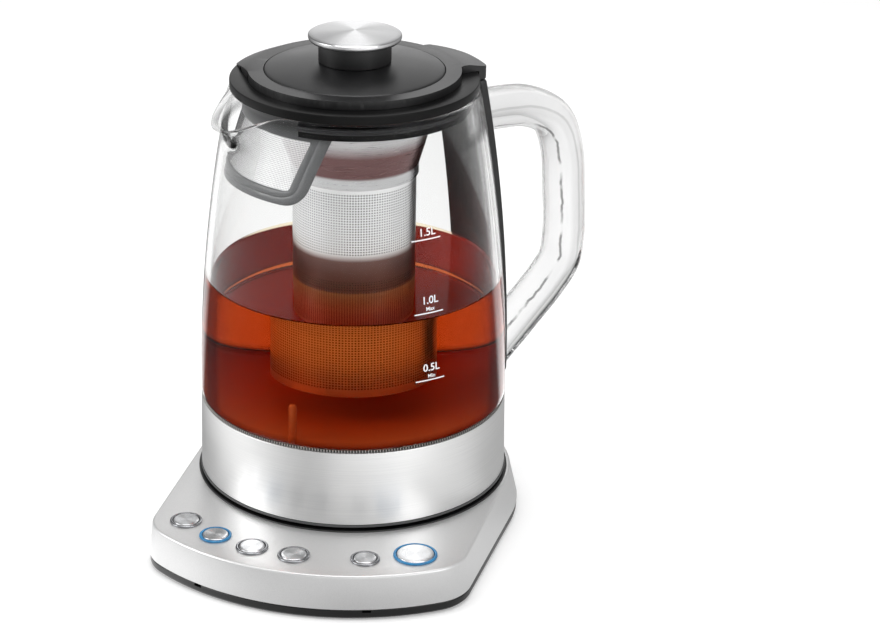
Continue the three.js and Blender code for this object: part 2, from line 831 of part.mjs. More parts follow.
// How far the spout pulls the wall out at an angle and height, as a share of its full reach
function spoutShare(angle, height) {
  const away = Math.abs(Math.PI - Math.abs(angle));
  const rise = (height - (glassTop - spoutHeight)) / spoutHeight;
  if (away > spoutHalfAngle || rise <= 0) return 0;
  const across = (1 + Math.cos((Math.PI * away) / spoutHalfAngle)) / 2;
  return across ** spoutPower * rise ** spoutRisePower;
}

function glassJug() {
  const outer = glassProfile(0);
  const inner = glassProfile(-glassWall).reverse();
  outer[0] = [outer[0][0], glassTop - glassLip];
  inner[inner.length - 1] = [inner[inner.length - 1][0], glassTop - glassLip];
  const lip = [glassMouthRadius - glassWall / 2, glassTop];
  const geometry = turned([...outer, ...inner, lip]);
  const position = geometry.getAttribute('position');
  const point = new THREE.Vector3();
  for (let i = 0; i < position.count; i += 1) {
    point.fromBufferAttribute(position, i);
    const share = spoutShare(Math.atan2(point.y, point.x), point.z);
    const reach = Math.hypot(point.x, point.y);
    point.x *= (reach + spoutReach * share) / reach;
    point.y *= (reach + spoutReach * share) / reach;
    point.z -= spoutDrop * share;
    position.setXYZ(i, point.x, point.y, point.z);
  }
  return geometry;
}

function handleSpine() {
  const top = tongueBottom() - clearance;
  const bottom = glassBottom;
  const steps = 7;
  const heights = Array.from({ length: steps + 1 }, (unused, i) => bottom + ((top - bottom) * i) / steps);
  const inner = heights.map((z) => [glassRadius(z) + clearance, z]);
  const outer = heights.map((z) => [glassRadius(z) + clearance + spineThickness, z]).reverse();
  const ring = turned([...inner, ...outer], 2 * wideTurn);
  const window = boxBetween([0, -spineHalfWidth, bottom - overrun], [2 * bandRadius, spineHalfWidth, top + overrun]);
  return overlapOf(ring, window);
}

function tongueBottom() {
  return coverRingTop - tongueFall - tongueSide;
}

// Handle: a bar along a D that leaves the spine near the top and comes back to it near the bottom
function handleBar() {
  const pathShares = [
    [-0.35, 1], [0.1, 1.003], [0.45, 0.99], [0.78, 0.925], [0.93, 0.8], [0.98, 0.62],
    [1, 0.44], [0.96, 0.335], [0.8, 0.255], [0.45, 0.13], [0.1, 0.01], [-0.15, -0.075],
  ];
  const rise = handleTopHeight - handleLowHeight;
  const points = pathShares.map(([out, up]) =>
    new THREE.Vector3(bandTopRadius + out * handleReach, 0, handleLowHeight + up * rise));
  const path = new THREE.CatmullRomCurve3(points, false, 'centripetal');
  const section = new THREE.Shape();
  section.absellipse(0, 0, handleHalfHeight, handleHalfWidth, 0, 2 * Math.PI);
  const settings = { steps: 28, bevelEnabled: false, extrudePath: path, curveSegments: 7 };
  const bar = new THREE.ExtrudeGeometry(section, settings);
  const away = clearance + spineThickness + clearance;
  const jugShape = turned([
    [0, 0],
    [bandRadius + away, 0],
    ...glassProfile(away).reverse(),
    [0, glassTop],
  ], 2 * wideTurn);
  return cut(bar, jugShape);
}

place(jug, 'glass_jug', glassJug(), clearGlass);
place(jug, 'handle_spine', handleSpine(), blackPlastic);
place(jug, 'handle', handleBar(), clearPlastic);

// Collar: a flat ring on the mouth, with a ledge for the basket and a skirt inside the glass
function spoutWedge(bottom, top) {
  const half = spoutHalfAngle;
  const reach = 2 * collarRadius;
  const shape = new THREE.Shape();
  shape.moveTo(-collarHoleRadius * Math.cos(half), -collarHoleRadius * Math.sin(half));
  shape.lineTo(-collarHoleRadius * Math.cos(half), collarHoleRadius * Math.sin(half));
  shape.lineTo(-reach * Math.cos(half), reach * Math.sin(half));
  shape.lineTo(-reach * Math.cos(half), -reach * Math.sin(half));
  return extruded(shape, bottom, top);
}

function collarRing() {
  const plateBottom = collarTop - ledgeDepth - ringPlate;
  const ring = turned([
    [collarHoleRadius, ledgeTop - ledgeThickness],
    [collarHoleRadius, ledgeTop],
    [ledgeRadius, ledgeTop],
    [ledgeRadius, collarTop],
    [collarRadius, collarTop],
    [collarRadius, collarBottom],
    [skirtRadius, collarBottom],
    [skirtRadius, skirtBottom],
    [skirtRadius - skirtWall, skirtBottom],
    [skirtRadius - skirtWall, plateBottom],
    [ledgeRadius, plateBottom],
    [ledgeRadius, ledgeTop - ledgeThickness],
  ]);
  return cut(ring, spoutWedge(skirtBottom - overrun, collarBottom - seatGap));
}

function collarSeal() {
  const inner = skirtRadius + seatGap;
  const bottom = (skirtBottom + collarBottom) / 2 - collarSealHeight / 2;
  const ring = tube(inner, inner + collarSealWidth, bottom, bottom + collarSealHeight);
  return cut(ring, spoutWedge(skirtBottom - overrun, collarBottom));
}

// Plan of the low step in front of the cover: from the tongue round the front to where the step ends
function frontStep() {
  const rootTurn = Math.asin((tongueHalfWidth - tongueRoot) / coverRadius);
  const reach = 2 * collarRadius;
  const shape = new THREE.Shape();
  shape.moveTo(reach * Math.cos(rootTurn), -reach * Math.sin(rootTurn));
  shape.lineTo(coverRadius * Math.cos(rootTurn), -coverRadius * Math.sin(rootTurn));
  shape.absarc(0, 0, coverRadius, -rootTurn, coverStepStart - 2 * Math.PI, true);
  shape.lineTo(collarRadius * Math.cos(coverStepEnd), collarRadius * Math.sin(coverStepEnd));
  shape.lineTo(reach * Math.cos(coverStepEnd), reach * Math.sin(coverStepEnd));
  shape.absarc(0, 0, reach, coverStepEnd - 2 * Math.PI, -rootTurn, false);
  return shape;
}

// Plan of the tongue over the spine: rounded into the cover at the front, its end round the axis
function tonguePlan() {
  const rootY = tongueHalfWidth + tongueRoot;
  const rootX = Math.sqrt((coverRadius + tongueRoot) ** 2 - rootY ** 2);
  const rootTurn = Math.atan2(rootY, rootX);
  const frontY = tongueHalfWidth - tongueFrontCorner;
  const frontX = Math.sqrt((tongueReach - tongueFrontCorner) ** 2 - frontY ** 2);
  const frontTurn = Math.atan2(frontY, frontX);
  const backY = tongueBackHalfWidth - tongueBackCorner;
  const backX = Math.sqrt((tongueReach - tongueBackCorner) ** 2 - backY ** 2);
  const backTurn = Math.atan2(backY, backX);
  const shape = new THREE.Shape();
  shape.moveTo(0, -coverInnerRadius / 2);
  shape.lineTo(coverInnerRadius * Math.cos(rootTurn), -coverInnerRadius * Math.sin(rootTurn));
  shape.absarc(rootX, -rootY, tongueRoot, Math.PI - rootTurn, Math.PI / 2, true);
  shape.absarc(frontX, -frontY, tongueFrontCorner, -Math.PI / 2, -frontTurn, false);
  shape.absarc(0, 0, tongueReach, -frontTurn, backTurn, false);
  shape.absarc(backX, backY, tongueBackCorner, backTurn, Math.PI / 2, false);
  shape.lineTo(0, tongueBackHalfWidth);
  return shape;
}

// Cover: a raised ring that slopes down to the rim at the back, with the tongue over the spine
function collarCover() {
  const low = tongueBottom();
  const bottom = collarTop + seatGap;
  const ring = turned([
    [coverInnerRadius, bottom],
    [collarRadius, bottom],
    [collarRadius, bottom + coverBackEdge],
    [coverRadius, coverRingTop],
    [coverInnerRadius, coverRingTop],
  ]);
  const raised = cut(ring, extruded(frontStep(), bottom - overrun, coverRingTop + overrun, 12));
  const fall = Math.atan2(tongueFall, tongueReach - coverRadius);
  const slope = boxBetween([0, -coverRadius, 0], [2 * coverRadius, coverRadius, coverHeight + overrun])
    .rotateY(fall)
    .translate(coverRadius, 0, coverRingTop);
  const room = disc(glassRadius(low) + clearance, low - overrun, bottom);
  const hole = disc(coverInnerRadius, low - overrun, coverRingTop + overrun);
  const tongue = cut(extruded(tonguePlan(), low, coverRingTop), slope, room, hole);
  return join(raised, tongue);
}

place(jug, 'collar_ring', collarRing(), blackPlastic);
place(jug, 'collar_cover', collarCover(), blackPlastic);
place(jug, 'collar_seal', collarSeal(), silicone);

// Spout filter: a frame that hangs from the collar behind the spout, following the glass.
// This is a slice of its surface between two depths, narrower towards the bottom
function filterPlate(innerDepth, outerDepth, inset) {
  const curve = [
    [filterTopRadius, filterTop - inset],
    [filterTopRadius, filterBend],
    [filterBottomRadius, filterBottom + inset],
  ];
  const inner = curve.map(([radius, z]) => [radius - innerDepth, z]);
  const outer = curve.map(([radius, z]) => [radius - outerDepth, z]).reverse();
  const ring = turned([...inner, ...outer]);
  const topHalf = filterTopRadius * Math.sin(filterTopAngle) - inset;
  const bottomHalf = filterBottomRadius * Math.sin(filterBottomAngle) - inset;
  const side = new THREE.Shape();
  side.moveTo(-topHalf, filterTop);
  side.lineTo(-bottomHalf, filterBottom);
  side.lineTo(bottomHalf, filterBottom);
  side.lineTo(topHalf, filterTop);
  const wedge = new THREE.ExtrudeGeometry(side, { depth: 2 * filterBottomRadius, bevelEnabled: false });
  wedge.rotateX(Math.PI / 2).rotateZ(-Math.PI / 2);
  return overlapOf(ring, wedge);
}

const filterFrame = cut(
  filterPlate(filterThickness, 0, 0),
  filterPlate(filterThickness + overrun, -overrun, filterRim),
);
const meshDepth = (filterThickness - meshThickness) / 2;
const filterMesh = filterPlate(meshDepth + meshThickness, meshDepth, filterRim + clearance);
place(jug, 'spout_filter_frame', filterFrame, greyPlastic);
place(jug, 'spout_filter_mesh', filterMesh, brushedSteel);

// Basket: a funnel hanging on the collar's ledge, and a straight tube with a flat bottom
function basketFunnel() {
  const rimBottom = basketRimTop - basketRimHeight;
  const wallBottom = rimBottom - funnelWallHeight;
  const shoulder = wallBottom - shoulderHeight;
  const neck = tubeRadius + clearance;
  const neckBottom = neckTop - neckHeight;
  return turned([
    [funnelRadius - basketWall, basketRimTop],
    [basketRimRadius, basketRimTop],
    [basketRimRadius, rimBottom],
    [funnelRadius, rimBottom],
    [funnelRadius, wallBottom],
    [funnelRadius - shoulderInset, shoulder],
    [neck + basketWall, neckTop],
    [neck + basketWall, neckBottom],
    [neck, neckBottom],
    [neck, neckTop],
    [funnelRadius - shoulderInset - basketWall, shoulder],
    [funnelRadius - basketWall, wallBottom],
  ]);
}

const basketFloorRadius = tubeRadius - basketWall - clearance;
const basketFloorBottom = tubeBottom + basketFloorSet;
place(jug, 'basket_funnel', basketFunnel(), polishedSteel);
place(jug, 'basket_tube', tube(tubeRadius - basketWall, tubeRadius, tubeBottom, neckTop - basketWall), brushedSteel);
place(jug, 'basket_floor', disc(basketFloorRadius, basketFloorBottom, basketFloorBottom + basketWall), brushedSteel);

// Lid with its spigot, seal and knob
function lidDisc() {
  const bore = knobScrewRadius + clearance;
  const fallTo = (radius) => lidRise * ((radius ** 2 - lidFlatRadius ** 2) / ((lidRadius - lidEdge) ** 2 - lidFlatRadius ** 2));
  const steps = 3;
  const dome = Array.from({ length: steps + 1 }, (unused, i) => {
    const radius = lidRadius - lidEdge - ((lidRadius - lidEdge - lidFlatRadius) * i) / steps;
    return [radius, lidMiddle - fallTo(radius)];
  });
  return turned([
    [bore, lidBottom],
    [spigotRadius - spigotWall, lidBottom],
    [spigotRadius - spigotWall, lidBottom - spigotDepth],
    [spigotRadius, lidBottom - spigotDepth],
    [spigotRadius, lidBottom],
    [lidRadius, lidBottom],
    [lidRadius, lidTop - lidEdge],
    ...dome,
    [bore, lidMiddle],
  ]);
}

function knobStem() {
  const bore = knobScrewRadius + clearance;
  const bottom = lidMiddle + seatGap;
  return turned([
    [bore, bottom],
    [stemRadius, bottom],
    [stemRadius, stemTop],
    [bore, stemTop],
  ], mediumTurn);
}

function knobCap() {
  const bottom = stemTop + seatGap;
  const rimTop = bottom + knobUndercut + knobRimHeight;
  const steps = 3;
  const flat = knobRadius - knobEdge;
  const dome = Array.from({ length: steps + 1 }, (unused, i) => {
    const share = 1 - i / steps;
    return [flat * share, rimTop + knobDome * (1 - share ** 2)];
  });
  return turned([
    [0, bottom],
    [knobRadius - knobUndercut, bottom],
    [knobRadius, bottom + knobUndercut],
    [knobRadius, rimTop - knobEdge],
    ...dome,
  ]);
}

function knobScrew() {
  const headTop = lidBottom - seatGap;
  const shankTop = Math.min(headTop + knobScrewLength, stemTop - knobScrewEnd);
  const head = disc(knobScrewHeadRadius, headTop - knobScrewHeadHeight, headTop, smallTurn);
  return join(head, disc(knobScrewRadius, headTop - seatGap, shankTop, tinyTurn));
}

const lidSealInner = spigotRadius + seatGap;
const lidSealTop = lidBottom - lidSealWidth;
place(jug, 'lid_disc', lidDisc(), blackPlastic);
place(jug, 'lid_seal', tube(lidSealInner, lidSealInner + lidSealWidth, lidSealTop - lidSealHeight, lidSealTop), silicone);
place(jug, 'knob_stem', knobStem(), blackPlastic);
place(jug, 'knob_cap', knobCap(), polishedSteel);
place(jug, 'knob_screw', knobScrew(), screwSteel);

// The origin is the middle of the bounding box at table height
teaMaker.updateMatrixWorld(true);
const middle = new THREE.Box3().setFromObject(teaMaker, true).getCenter(new THREE.Vector3());
teaMaker.position.set(-middle.x, -middle.y, 0);

export default teaMaker;
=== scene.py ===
# Looks for a glass tea maker: a jug with a lid and a tea basket, on a heated base with six buttons.
# Shapes are worked out in millimetres about the jug's axis, and moved into the frame in metres.
# Parts of the jug are drawn with the handle at +x and the spout at -x, and then turned into place.

import math

import bmesh
import bpy
from mathutils import Matrix, Vector

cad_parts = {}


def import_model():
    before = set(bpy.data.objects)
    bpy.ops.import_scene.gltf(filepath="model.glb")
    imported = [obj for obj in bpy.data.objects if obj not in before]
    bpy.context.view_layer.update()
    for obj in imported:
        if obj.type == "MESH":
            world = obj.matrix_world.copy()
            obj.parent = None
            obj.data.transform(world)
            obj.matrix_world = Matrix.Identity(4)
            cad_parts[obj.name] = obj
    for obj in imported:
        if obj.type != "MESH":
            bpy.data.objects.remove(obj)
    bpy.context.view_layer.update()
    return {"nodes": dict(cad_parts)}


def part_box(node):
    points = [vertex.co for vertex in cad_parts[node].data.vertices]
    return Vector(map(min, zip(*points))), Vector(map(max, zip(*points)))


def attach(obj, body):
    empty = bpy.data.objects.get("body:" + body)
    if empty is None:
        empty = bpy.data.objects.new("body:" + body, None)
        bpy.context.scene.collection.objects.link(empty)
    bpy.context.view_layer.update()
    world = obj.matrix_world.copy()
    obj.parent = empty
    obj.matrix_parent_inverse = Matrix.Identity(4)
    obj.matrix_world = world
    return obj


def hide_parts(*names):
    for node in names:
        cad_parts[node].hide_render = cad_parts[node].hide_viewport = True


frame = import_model()

MM = 0.001
TINY = 1e-6


def middle(node):
    """The middle of a node's box seen from above, in millimetres of the frame."""
    low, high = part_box(node)
    return (low.x + high.x) / 2 / MM, (low.y + high.y) / 2 / MM


# The jug's axis in the frame, and the handle's turn about it
AXIS = (-7.754532, 12.368141)
HANDLE_TURN = math.radians(43.8)

# Points round a turned body
FINEST, GLASS_ROUND, WIDE, MEDIUM, SMALL, THIN = 240, 216, 180, 96, 64, 32

# Base: heights from the table up, radii of its plan, tapers in degrees, and its walls
FOOT, PLATE_TOP, SHELL_BOTTOM, CAVITY_TOP, RECESS_Z, BASE_TOP = 0.6, 4.9, 5.1, 18.1, 20.3, 21.8
BACK_R, FRONT_R, CORNER_R = 79.8, 116.0, 22.0
LOW_TAPER, TOP_TAPER = 2.8, 1.4
BASE_WALL, RECESS_R, TOWER_R, FIT = 2.2, 66.0, 15.0, 0.3

# Buttons: distance from the axis, the bezel's width, and each one's angle, radius, and painted fan of
# reflected light on its face as a turn in degrees and a depth
BUTTON_REACH, BEZEL_WIDTH = 99.3, 1.5
BUTTONS = [
    (-125.8, 7.4, 20, 0.35), (-114.2, 7.4, -20, 0.35), (-102.4, 7.4, -60, 0.35),
    (-90.6, 7.4, 60, 0.25), (-71.9, 6.7, -50, 0.25), (-58.6, 10.0, -75, 0.12),
]
LIT_BUTTONS = (2, 6)

# Jug: steel band, glass and spout
BAND_BOTTOM, BAND_TOP, BAND_R, BAND_TOP_R = 25.1, 61.1, 73.0, 72.4
GLASS_BOTTOM, GLASS_TOP, GLASS_WALL, MOUTH_R = 62.7, 212.0, 3.0, 57.5
SPOUT_REACH, SPOUT_DROP, SPOUT_HEIGHT, SPOUT_HALF = 14.2, 9.5, 26.0, math.radians(34)
SEAL_TEETH = 336
TEA_BOTTOM, TEA_TOP = 60.4, 121.6

# Collar, its cover with the tongue over the spine, and the spout filter
COLLAR_R, COLLAR_BOTTOM, COLLAR_TOP, SKIRT_BOTTOM = 57.0, 212.3, 216.5, 203.8
COVER_IN, COVER_R, COVER_TOP = 41.5, 48.6, 220.3
TONGUE_R, TONGUE_FRONT, TONGUE_BACK = 62.0, 19.4, 16.8
FILTER_TOP, FILTER_BEND, FILTER_BOTTOM = 213.3, 204.3, 172.8
FILTER_R, FILTER_LOW_R = 51.0, 60.0

# Basket, lid and knob
TUBE_R, TUBE_BOTTOM, TUBE_TOP = 28.7, 74.0, 175.7
LID_R, LID_TOP, STEM_R, KNOB_R, KNOB_TOP = 41.2, 224.2, 16.6, 21.3, 238.5


# Meshes
def in_frame(points, turn=0.0):
    """Points in millimetres about the jug's axis, as points of the frame in metres."""
    c, s = math.cos(turn), math.sin(turn)
    return [
        ((x * c - y * s + AXIS[0]) * MM, (x * s + y * c + AXIS[1]) * MM, z * MM)
        for x, y, z in points
    ]


def make(name, verts, faces, turn=0.0, sharp=32.0):
    """A mesh object, smooth but for its edges sharper than an angle in degrees."""
    mesh = bpy.data.meshes.new(name)
    mesh.from_pydata(in_frame(verts, turn), [], faces)
    mesh.validate()
    obj = bpy.data.objects.new(name, mesh)
    bpy.context.scene.collection.objects.link(obj)
    tidy(obj, sharp)
    return obj


def smooth(obj, sharp):
    obj.data.shade_smooth()
    obj.data.set_sharp_from_angle(angle=math.radians(sharp))


def tidy(obj, sharp=32.0):
    """Joins doubled points, turns the faces outward and sets the smooth shading."""
    bm = bmesh.new()
    bm.from_mesh(obj.data)
    bmesh.ops.remove_doubles(bm, verts=bm.verts, dist=1e-7)
    bmesh.ops.recalc_face_normals(bm, faces=bm.faces)
    bm.to_mesh(obj.data)
    bm.free()
    smooth(obj, sharp)


def apply_modifiers(obj):
    bpy.context.view_layer.update()
    graph = bpy.context.evaluated_depsgraph_get()
    mesh = bpy.data.meshes.new_from_object(obj.evaluated_get(graph))
    obj.modifiers.clear()
    obj.data = mesh


def carve(obj, tool, operation="DIFFERENCE"):
    """Cuts one object with another, or joins them, and removes the other."""
    modifier = obj.modifiers.new("carve", "BOOLEAN")
    modifier.operation = operation
    modifier.solver = "EXACT"
    modifier.object = tool
    apply_modifiers(obj)
    bpy.data.objects.remove(tool)


def cut(obj, shape, turn=0.0):
    """Cuts a shape, as points and faces, out of an object."""
    carve(obj, make("tool", *shape, turn))


def bevel(obj, width, angle, sharp=32.0):
    """Rounds the edges that are sharper than an angle, by a width in millimetres."""
    modifier = obj.modifiers.new("bevel", "BEVEL")
    modifier.width = width * MM
    modifier.segments = 3
    modifier.limit_method = "ANGLE"
    modifier.angle_limit = math.radians(angle)
    modifier.use_clamp_overlap = True
    apply_modifiers(obj)
    smooth(obj, sharp)


def rounding(start, corner, end, steps):
    """Points of a curve from start to end that bends towards a corner."""
    shares = [k / steps for k in range(steps + 1)]
    return [(start * (1 - t) ** 2 + corner * 2 * t * (1 - t) + end * t * t)[:] for t in shares]


def eased(profile, radius=0.3, steps=3):
    """A closed section with its corners rounded. A point may carry its own radius as a third number."""
    most = 0.45
    points = []
    for i, corner in enumerate(profile):
        here = Vector(corner[:2])
        back = Vector(profile[i - 1][:2]) - here
        ahead = Vector(profile[(i + 1) % len(profile)][:2]) - here
        own = corner[2] if len(corner) > 2 else radius
        if here.x < TINY or own <= 0:
            points.append(here[:])
        elif min(back.length, ahead.length) >= TINY:
            away = min(own, most * back.length, most * ahead.length)
            start, end = here + back.normalized() * away, here + ahead.normalized() * away
            points += rounding(start, here, end, steps)
    return points


def turned(profile, steps=WIDE, at=(0.0, 0.0)):
    """Points and faces of a body turned about an upright line from a closed section."""
    verts, rings, faces = [], [], []
    for radius, height in profile:
        if radius < TINY:
            rings.append([len(verts)] * steps)
            verts.append((at[0], at[1], height))
            continue
        rings.append(list(range(len(verts), len(verts) + steps)))
        for k in range(steps):
            a = 2 * math.pi * k / steps
            verts.append((at[0] + radius * math.cos(a), at[1] + radius * math.sin(a), height))
    for i in range(len(profile)):
        j = (i + 1) % len(profile)
        if profile[i][0] < TINY and profile[j][0] < TINY:
            continue
        for k in range(steps):
            n = (k + 1) % steps
            quad = [rings[i][k], rings[i][n], rings[j][n], rings[j][k]]
            face = [v for p, v in enumerate(quad) if v not in quad[:p]]
            if len(face) > 2:
                faces.append(face)
    return verts, faces


def tube_faces(count, rows):
    """Faces of a closed tube through rows of points, with its two ends filled."""
    faces = []
    for row in range(rows - 1):
        for i in range(count):
            n = (i + 1) % count
            low, high = row * count, (row + 1) * count
            faces.append([low + i, low + n, high + n, high + i])
    faces.append(list(range(count))[::-1])
    last = (rows - 1) * count
    faces.append(list(range(last, last + count)))
    return faces


def extruded(outline, low, high):
    """Points and faces of an upright body with the given plan."""
    return lofted([(low, outline), (high, outline)])


def lofted(levels):
    """Points and faces of a body through plans that have the same number of points."""
    verts = [(x, y, z) for z, outline in levels for x, y in outline]
    return verts, tube_faces(len(levels[0][1]), len(levels))


def swept(centres, normals, section):
    """Points and faces of a bar: a section carried along a line in the x-z plane."""
    verts = []
    for (x, z), (nx, nz) in zip(centres, normals):
        verts += [(x + nx * u, v, z + nz * u) for u, v in section]
    return verts, tube_faces(len(section), len(centres))


def sheet_faces(rows, columns):
    """Faces of a thin sheet of two layers, each with the given rows and columns of cells."""
    size = (rows + 1) * (columns + 1)

    def at(layer, i, k):
        return layer * size + i * (columns + 1) + k

    faces = []
    for i in range(rows):
        for k in range(columns):
            for n in (0, 1):
                faces.append([at(n, i, k), at(n, i, k + 1), at(n, i + 1, k + 1), at(n, i + 1, k)])
    for i in range(rows):
        for k in (0, columns):
            faces.append([at(0, i, k), at(0, i + 1, k), at(1, i + 1, k), at(1, i, k)])
    for k in range(columns):
        for i in (0, rows):
            faces.append([at(0, i, k), at(0, i, k + 1), at(1, i, k + 1), at(1, i, k)])
    return faces


def arc(x, y, radius, start, end, steps):
    """Points of an arc about (x, y), without its last one."""
    turns = [start + (end - start) * i / steps for i in range(steps)]
    return [(x + radius * math.cos(a), y + radius * math.sin(a)) for a in turns]


# Materials
class Look:
    """A node material, built up one node at a time."""

    def __init__(self, name):
        self.material = bpy.data.materials.new(name)
        self.material.use_nodes = True
        self.tree = self.material.node_tree
        self.shader = next(n for n in self.tree.nodes if n.type == "BSDF_PRINCIPLED")
        self.output = next(n for n in self.tree.nodes if n.type == "OUTPUT_MATERIAL")

    def add(self, kind, inputs=None, **settings):
        """A new node, with its settings, and with its inputs by name or number."""
        node = self.tree.nodes.new("ShaderNode" + kind)
        for key, value in settings.items():
            setattr(node, key, value)
        for key, value in (inputs or {}).items():
            self.put(node.inputs[key], value)
        return node

    def put(self, socket, value):
        """Gives a socket a value, or links another socket to it."""
        if isinstance(value, bpy.types.NodeSocket):
            self.tree.links.new(value, socket)
        else:
            socket.default_value = value

    def set(self, **inputs):
        """Sets the shader's inputs, with _ for the spaces in their names."""
        for key, value in inputs.items():
            self.put(self.shader.inputs[key.replace("_", " ")], value)

    def cover(self, share, over):
        """Mixes another shader over the material's own by a share."""
        mixer = self.add("MixShader", {0: share, 1: self.shader.outputs[0], 2: over.outputs[0]})
        self.put(self.output.inputs["Surface"], mixer.outputs[0])

    def pierce(self, share):
        """Mixes holes into the material: a share of 1 is open."""
        self.cover(share, self.add("BsdfTransparent"))

    def math(self, operation, a, b=0.0, clamp=False):
        return self.add("Math", {0: a, 1: b}, operation=operation, use_clamp=clamp).outputs[0]

    def plus(self, a, b):
        return self.math("ADD", a, b)

    def minus(self, a, b):
        return self.math("SUBTRACT", a, b)

    def times(self, a, b):
        return self.math("MULTIPLY", a, b)

    def reach(self, x, y):
        """Distance from the middle."""
        return self.math("SQRT", self.plus(self.times(x, x), self.times(y, y)))

    def angle(self, x, y):
        return self.math("ARCTAN2", y, x)

    def place(self, scale=(1, 1, 1), centre=AXIS):
        """Object coordinates in millimetres about an upright line."""
        found = self.add("TexCoord").outputs["Object"]
        start = (centre[0] * MM, centre[1] * MM, 0)
        moved = self.add("VectorMath", {0: found, 1: start}, operation="SUBTRACT").outputs[0]
        size = tuple(s / MM for s in scale)
        return self.add("VectorMath", {0: moved, 1: size}, operation="MULTIPLY").outputs[0]

    def parts(self, vector):
        return self.add("SeparateXYZ", {0: vector}).outputs

    def height(self):
        return self.parts(self.place())[2]

    def join(self, x, y, z):
        return self.add("CombineXYZ", {0: x, 1: y, 2: z}).outputs[0]

    def noise(self, vector, detail=2.0, roughness=0.5):
        inputs = {"Vector": vector, "Scale": 1.0, "Detail": detail, "Roughness": roughness}
        return self.add("TexNoise", inputs).outputs["Fac"]

    def grain(self, scale, detail=2.0, roughness=0.5):
        """Noise over the piece, with its scale per millimetre as one number or one for each axis."""
        scale = scale if isinstance(scale, tuple) else (scale,) * 3
        return self.noise(self.place(scale), detail, roughness)

    def ramp(self, value, low, high, from_low=0.3, from_high=0.7):
        """A number carried from one range to another, held within it. The first fits a noise."""
        inputs = {"Value": value, "From Min": from_low, "From Max": from_high, "To Min": low, "To Max": high}
        return self.add("MapRange", inputs, clamp=True).outputs[0]

    def mix(self, share, first, second, kind="MIX"):
        """One colour mixed with another by a share."""
        inputs = {0: share, 6: colour(first), 7: colour(second)}
        return self.add("Mix", inputs, data_type="RGBA", blend_type=kind).outputs[2]

    def shades(self, noise, first, second):
        """From one screen colour to another by a noise."""
        return self.mix(self.ramp(noise, 0, 1), linear(*first), linear(*second))

    def table(self, value, stops):
        """A colour looked up in a table of (place, colour), the places from 0 to 1."""
        node = self.add("ValToRGB", {"Fac": value})
        found = node.color_ramp.elements
        while len(found) < len(stops):
            found.new(0.5)
        for stop, (at, tone) in zip(found, stops):
            stop.position = at
            stop.color = colour(tone)
        return node.outputs["Color"]

    def bump(self, height, distance, strength):
        inputs = {"Height": height, "Distance": distance * MM, "Strength": strength}
        return self.add("Bump", inputs).outputs[0]

    def facing(self, inputs=None):
        """How far the surface is turned away from the eye."""
        return self.add("LayerWeight", {"Blend": 0.5, **(inputs or {})}).outputs["Facing"]

    def turning_lines(self, anisotropic):
        """Stretches the shine round the jug's axis, as brushed or turned steel does."""
        round_z = self.add("Tangent", direction_type="RADIAL", axis="Z").outputs[0]
        self.set(Anisotropic=anisotropic, Anisotropic_Rotation=0.25, Tangent=round_z)


def colour(value):
    """A colour of three numbers gets its fourth. Anything else stays."""
    if isinstance(value, (tuple, list)) and len(value) == 3:
        return (*value, 1.0)
    return value


def linear(red, green, blue):
    """A screen colour from 0 to 255 as linear light."""
    out = []
    for v in (red / 255, green / 255, blue / 255):
        out.append(v / 12.92 if v <= 0.04045 else ((v + 0.055) / 1.055) ** 2.4)
    return tuple(out)


def brushed_band():
    """Bare steel with fine lines that run round the jug."""
    look = Look("band_steel")
    lines = look.grain((0.02, 0.02, 9.0), 4.0, 0.6)
    wide = look.grain((0.03, 0.03, 0.6))
    look.set(
        Base_Color=look.shades(lines, (222, 222, 222), (238, 238, 237)),
        Metallic=1.0,
        Roughness=look.ramp(look.plus(lines, wide), 0.27, 0.38, 0.6, 1.4),
        Normal=look.bump(lines, 0.012, 0.5),
    )
    look.turning_lines(0.6)
    return look.material


def spun(name, centre, tone, roughness, anisotropic, painted_fan_turn, depth):
    """Steel turned on a lathe: rings about its own centre, and painted fans of reflected light and dark that
    meet there.
    """
    look = Look(name)
    x, y, z = look.parts(look.place(centre=centre))
    spread = look.join(look.times(look.reach(x, y), 7.0), look.times(x, 0.06), look.times(y, 0.06))
    rings = look.noise(spread, 3.0, 0.6)
    # Painted reflection: fans of light and dark by the angle round the centre, multiplied into the colour.
    turn = look.minus(look.angle(x, y), math.radians(painted_fan_turn))
    wave = look.math("COSINE", look.times(turn, 2.0))
    narrow = look.math("COSINE", look.plus(look.times(turn, 4.0), 0.8))
    painted_fan = look.ramp(look.plus(wave, look.times(narrow, 0.35)), 0, 1, -0.9, 0.9)
    light = linear(*tone)
    dark = tuple(0.9 * c for c in light)
    plain = look.mix(look.ramp(rings, 0, 1), dark, light)
    painted_fan_tone = look.mix(painted_fan, (1 - depth,) * 3, (1.0, 1.0, 1.0))
    look.set(
        Base_Color=look.mix(1.0, plain, painted_fan_tone, "MULTIPLY"),
        Metallic=1.0,
        Roughness=look.ramp(rings, roughness * 0.85, roughness * 1.3),
        Normal=look.bump(rings, 0.008, 0.3),
    )
    look.turning_lines(anisotropic)
    return look.material


def shell_silver():
    """Silver lacquer with a soft satin shine and a very fine grain."""
    look = Look("silver_shell")
    grain = look.grain(3.0, 4.0, 0.6)
    cloud = look.grain(0.02)
    tone = look.shades(grain, (204, 204, 204), (218, 218, 218))
    look.set(
        Base_Color=look.mix(look.ramp(cloud, 0, 0.25, 0.35, 0.65), tone, linear(224, 224, 224)),
        Metallic=0.65,
        Roughness=look.ramp(grain, 0.34, 0.42),
        Normal=look.bump(grain, 0.012, 0.4),
    )
    return look.material


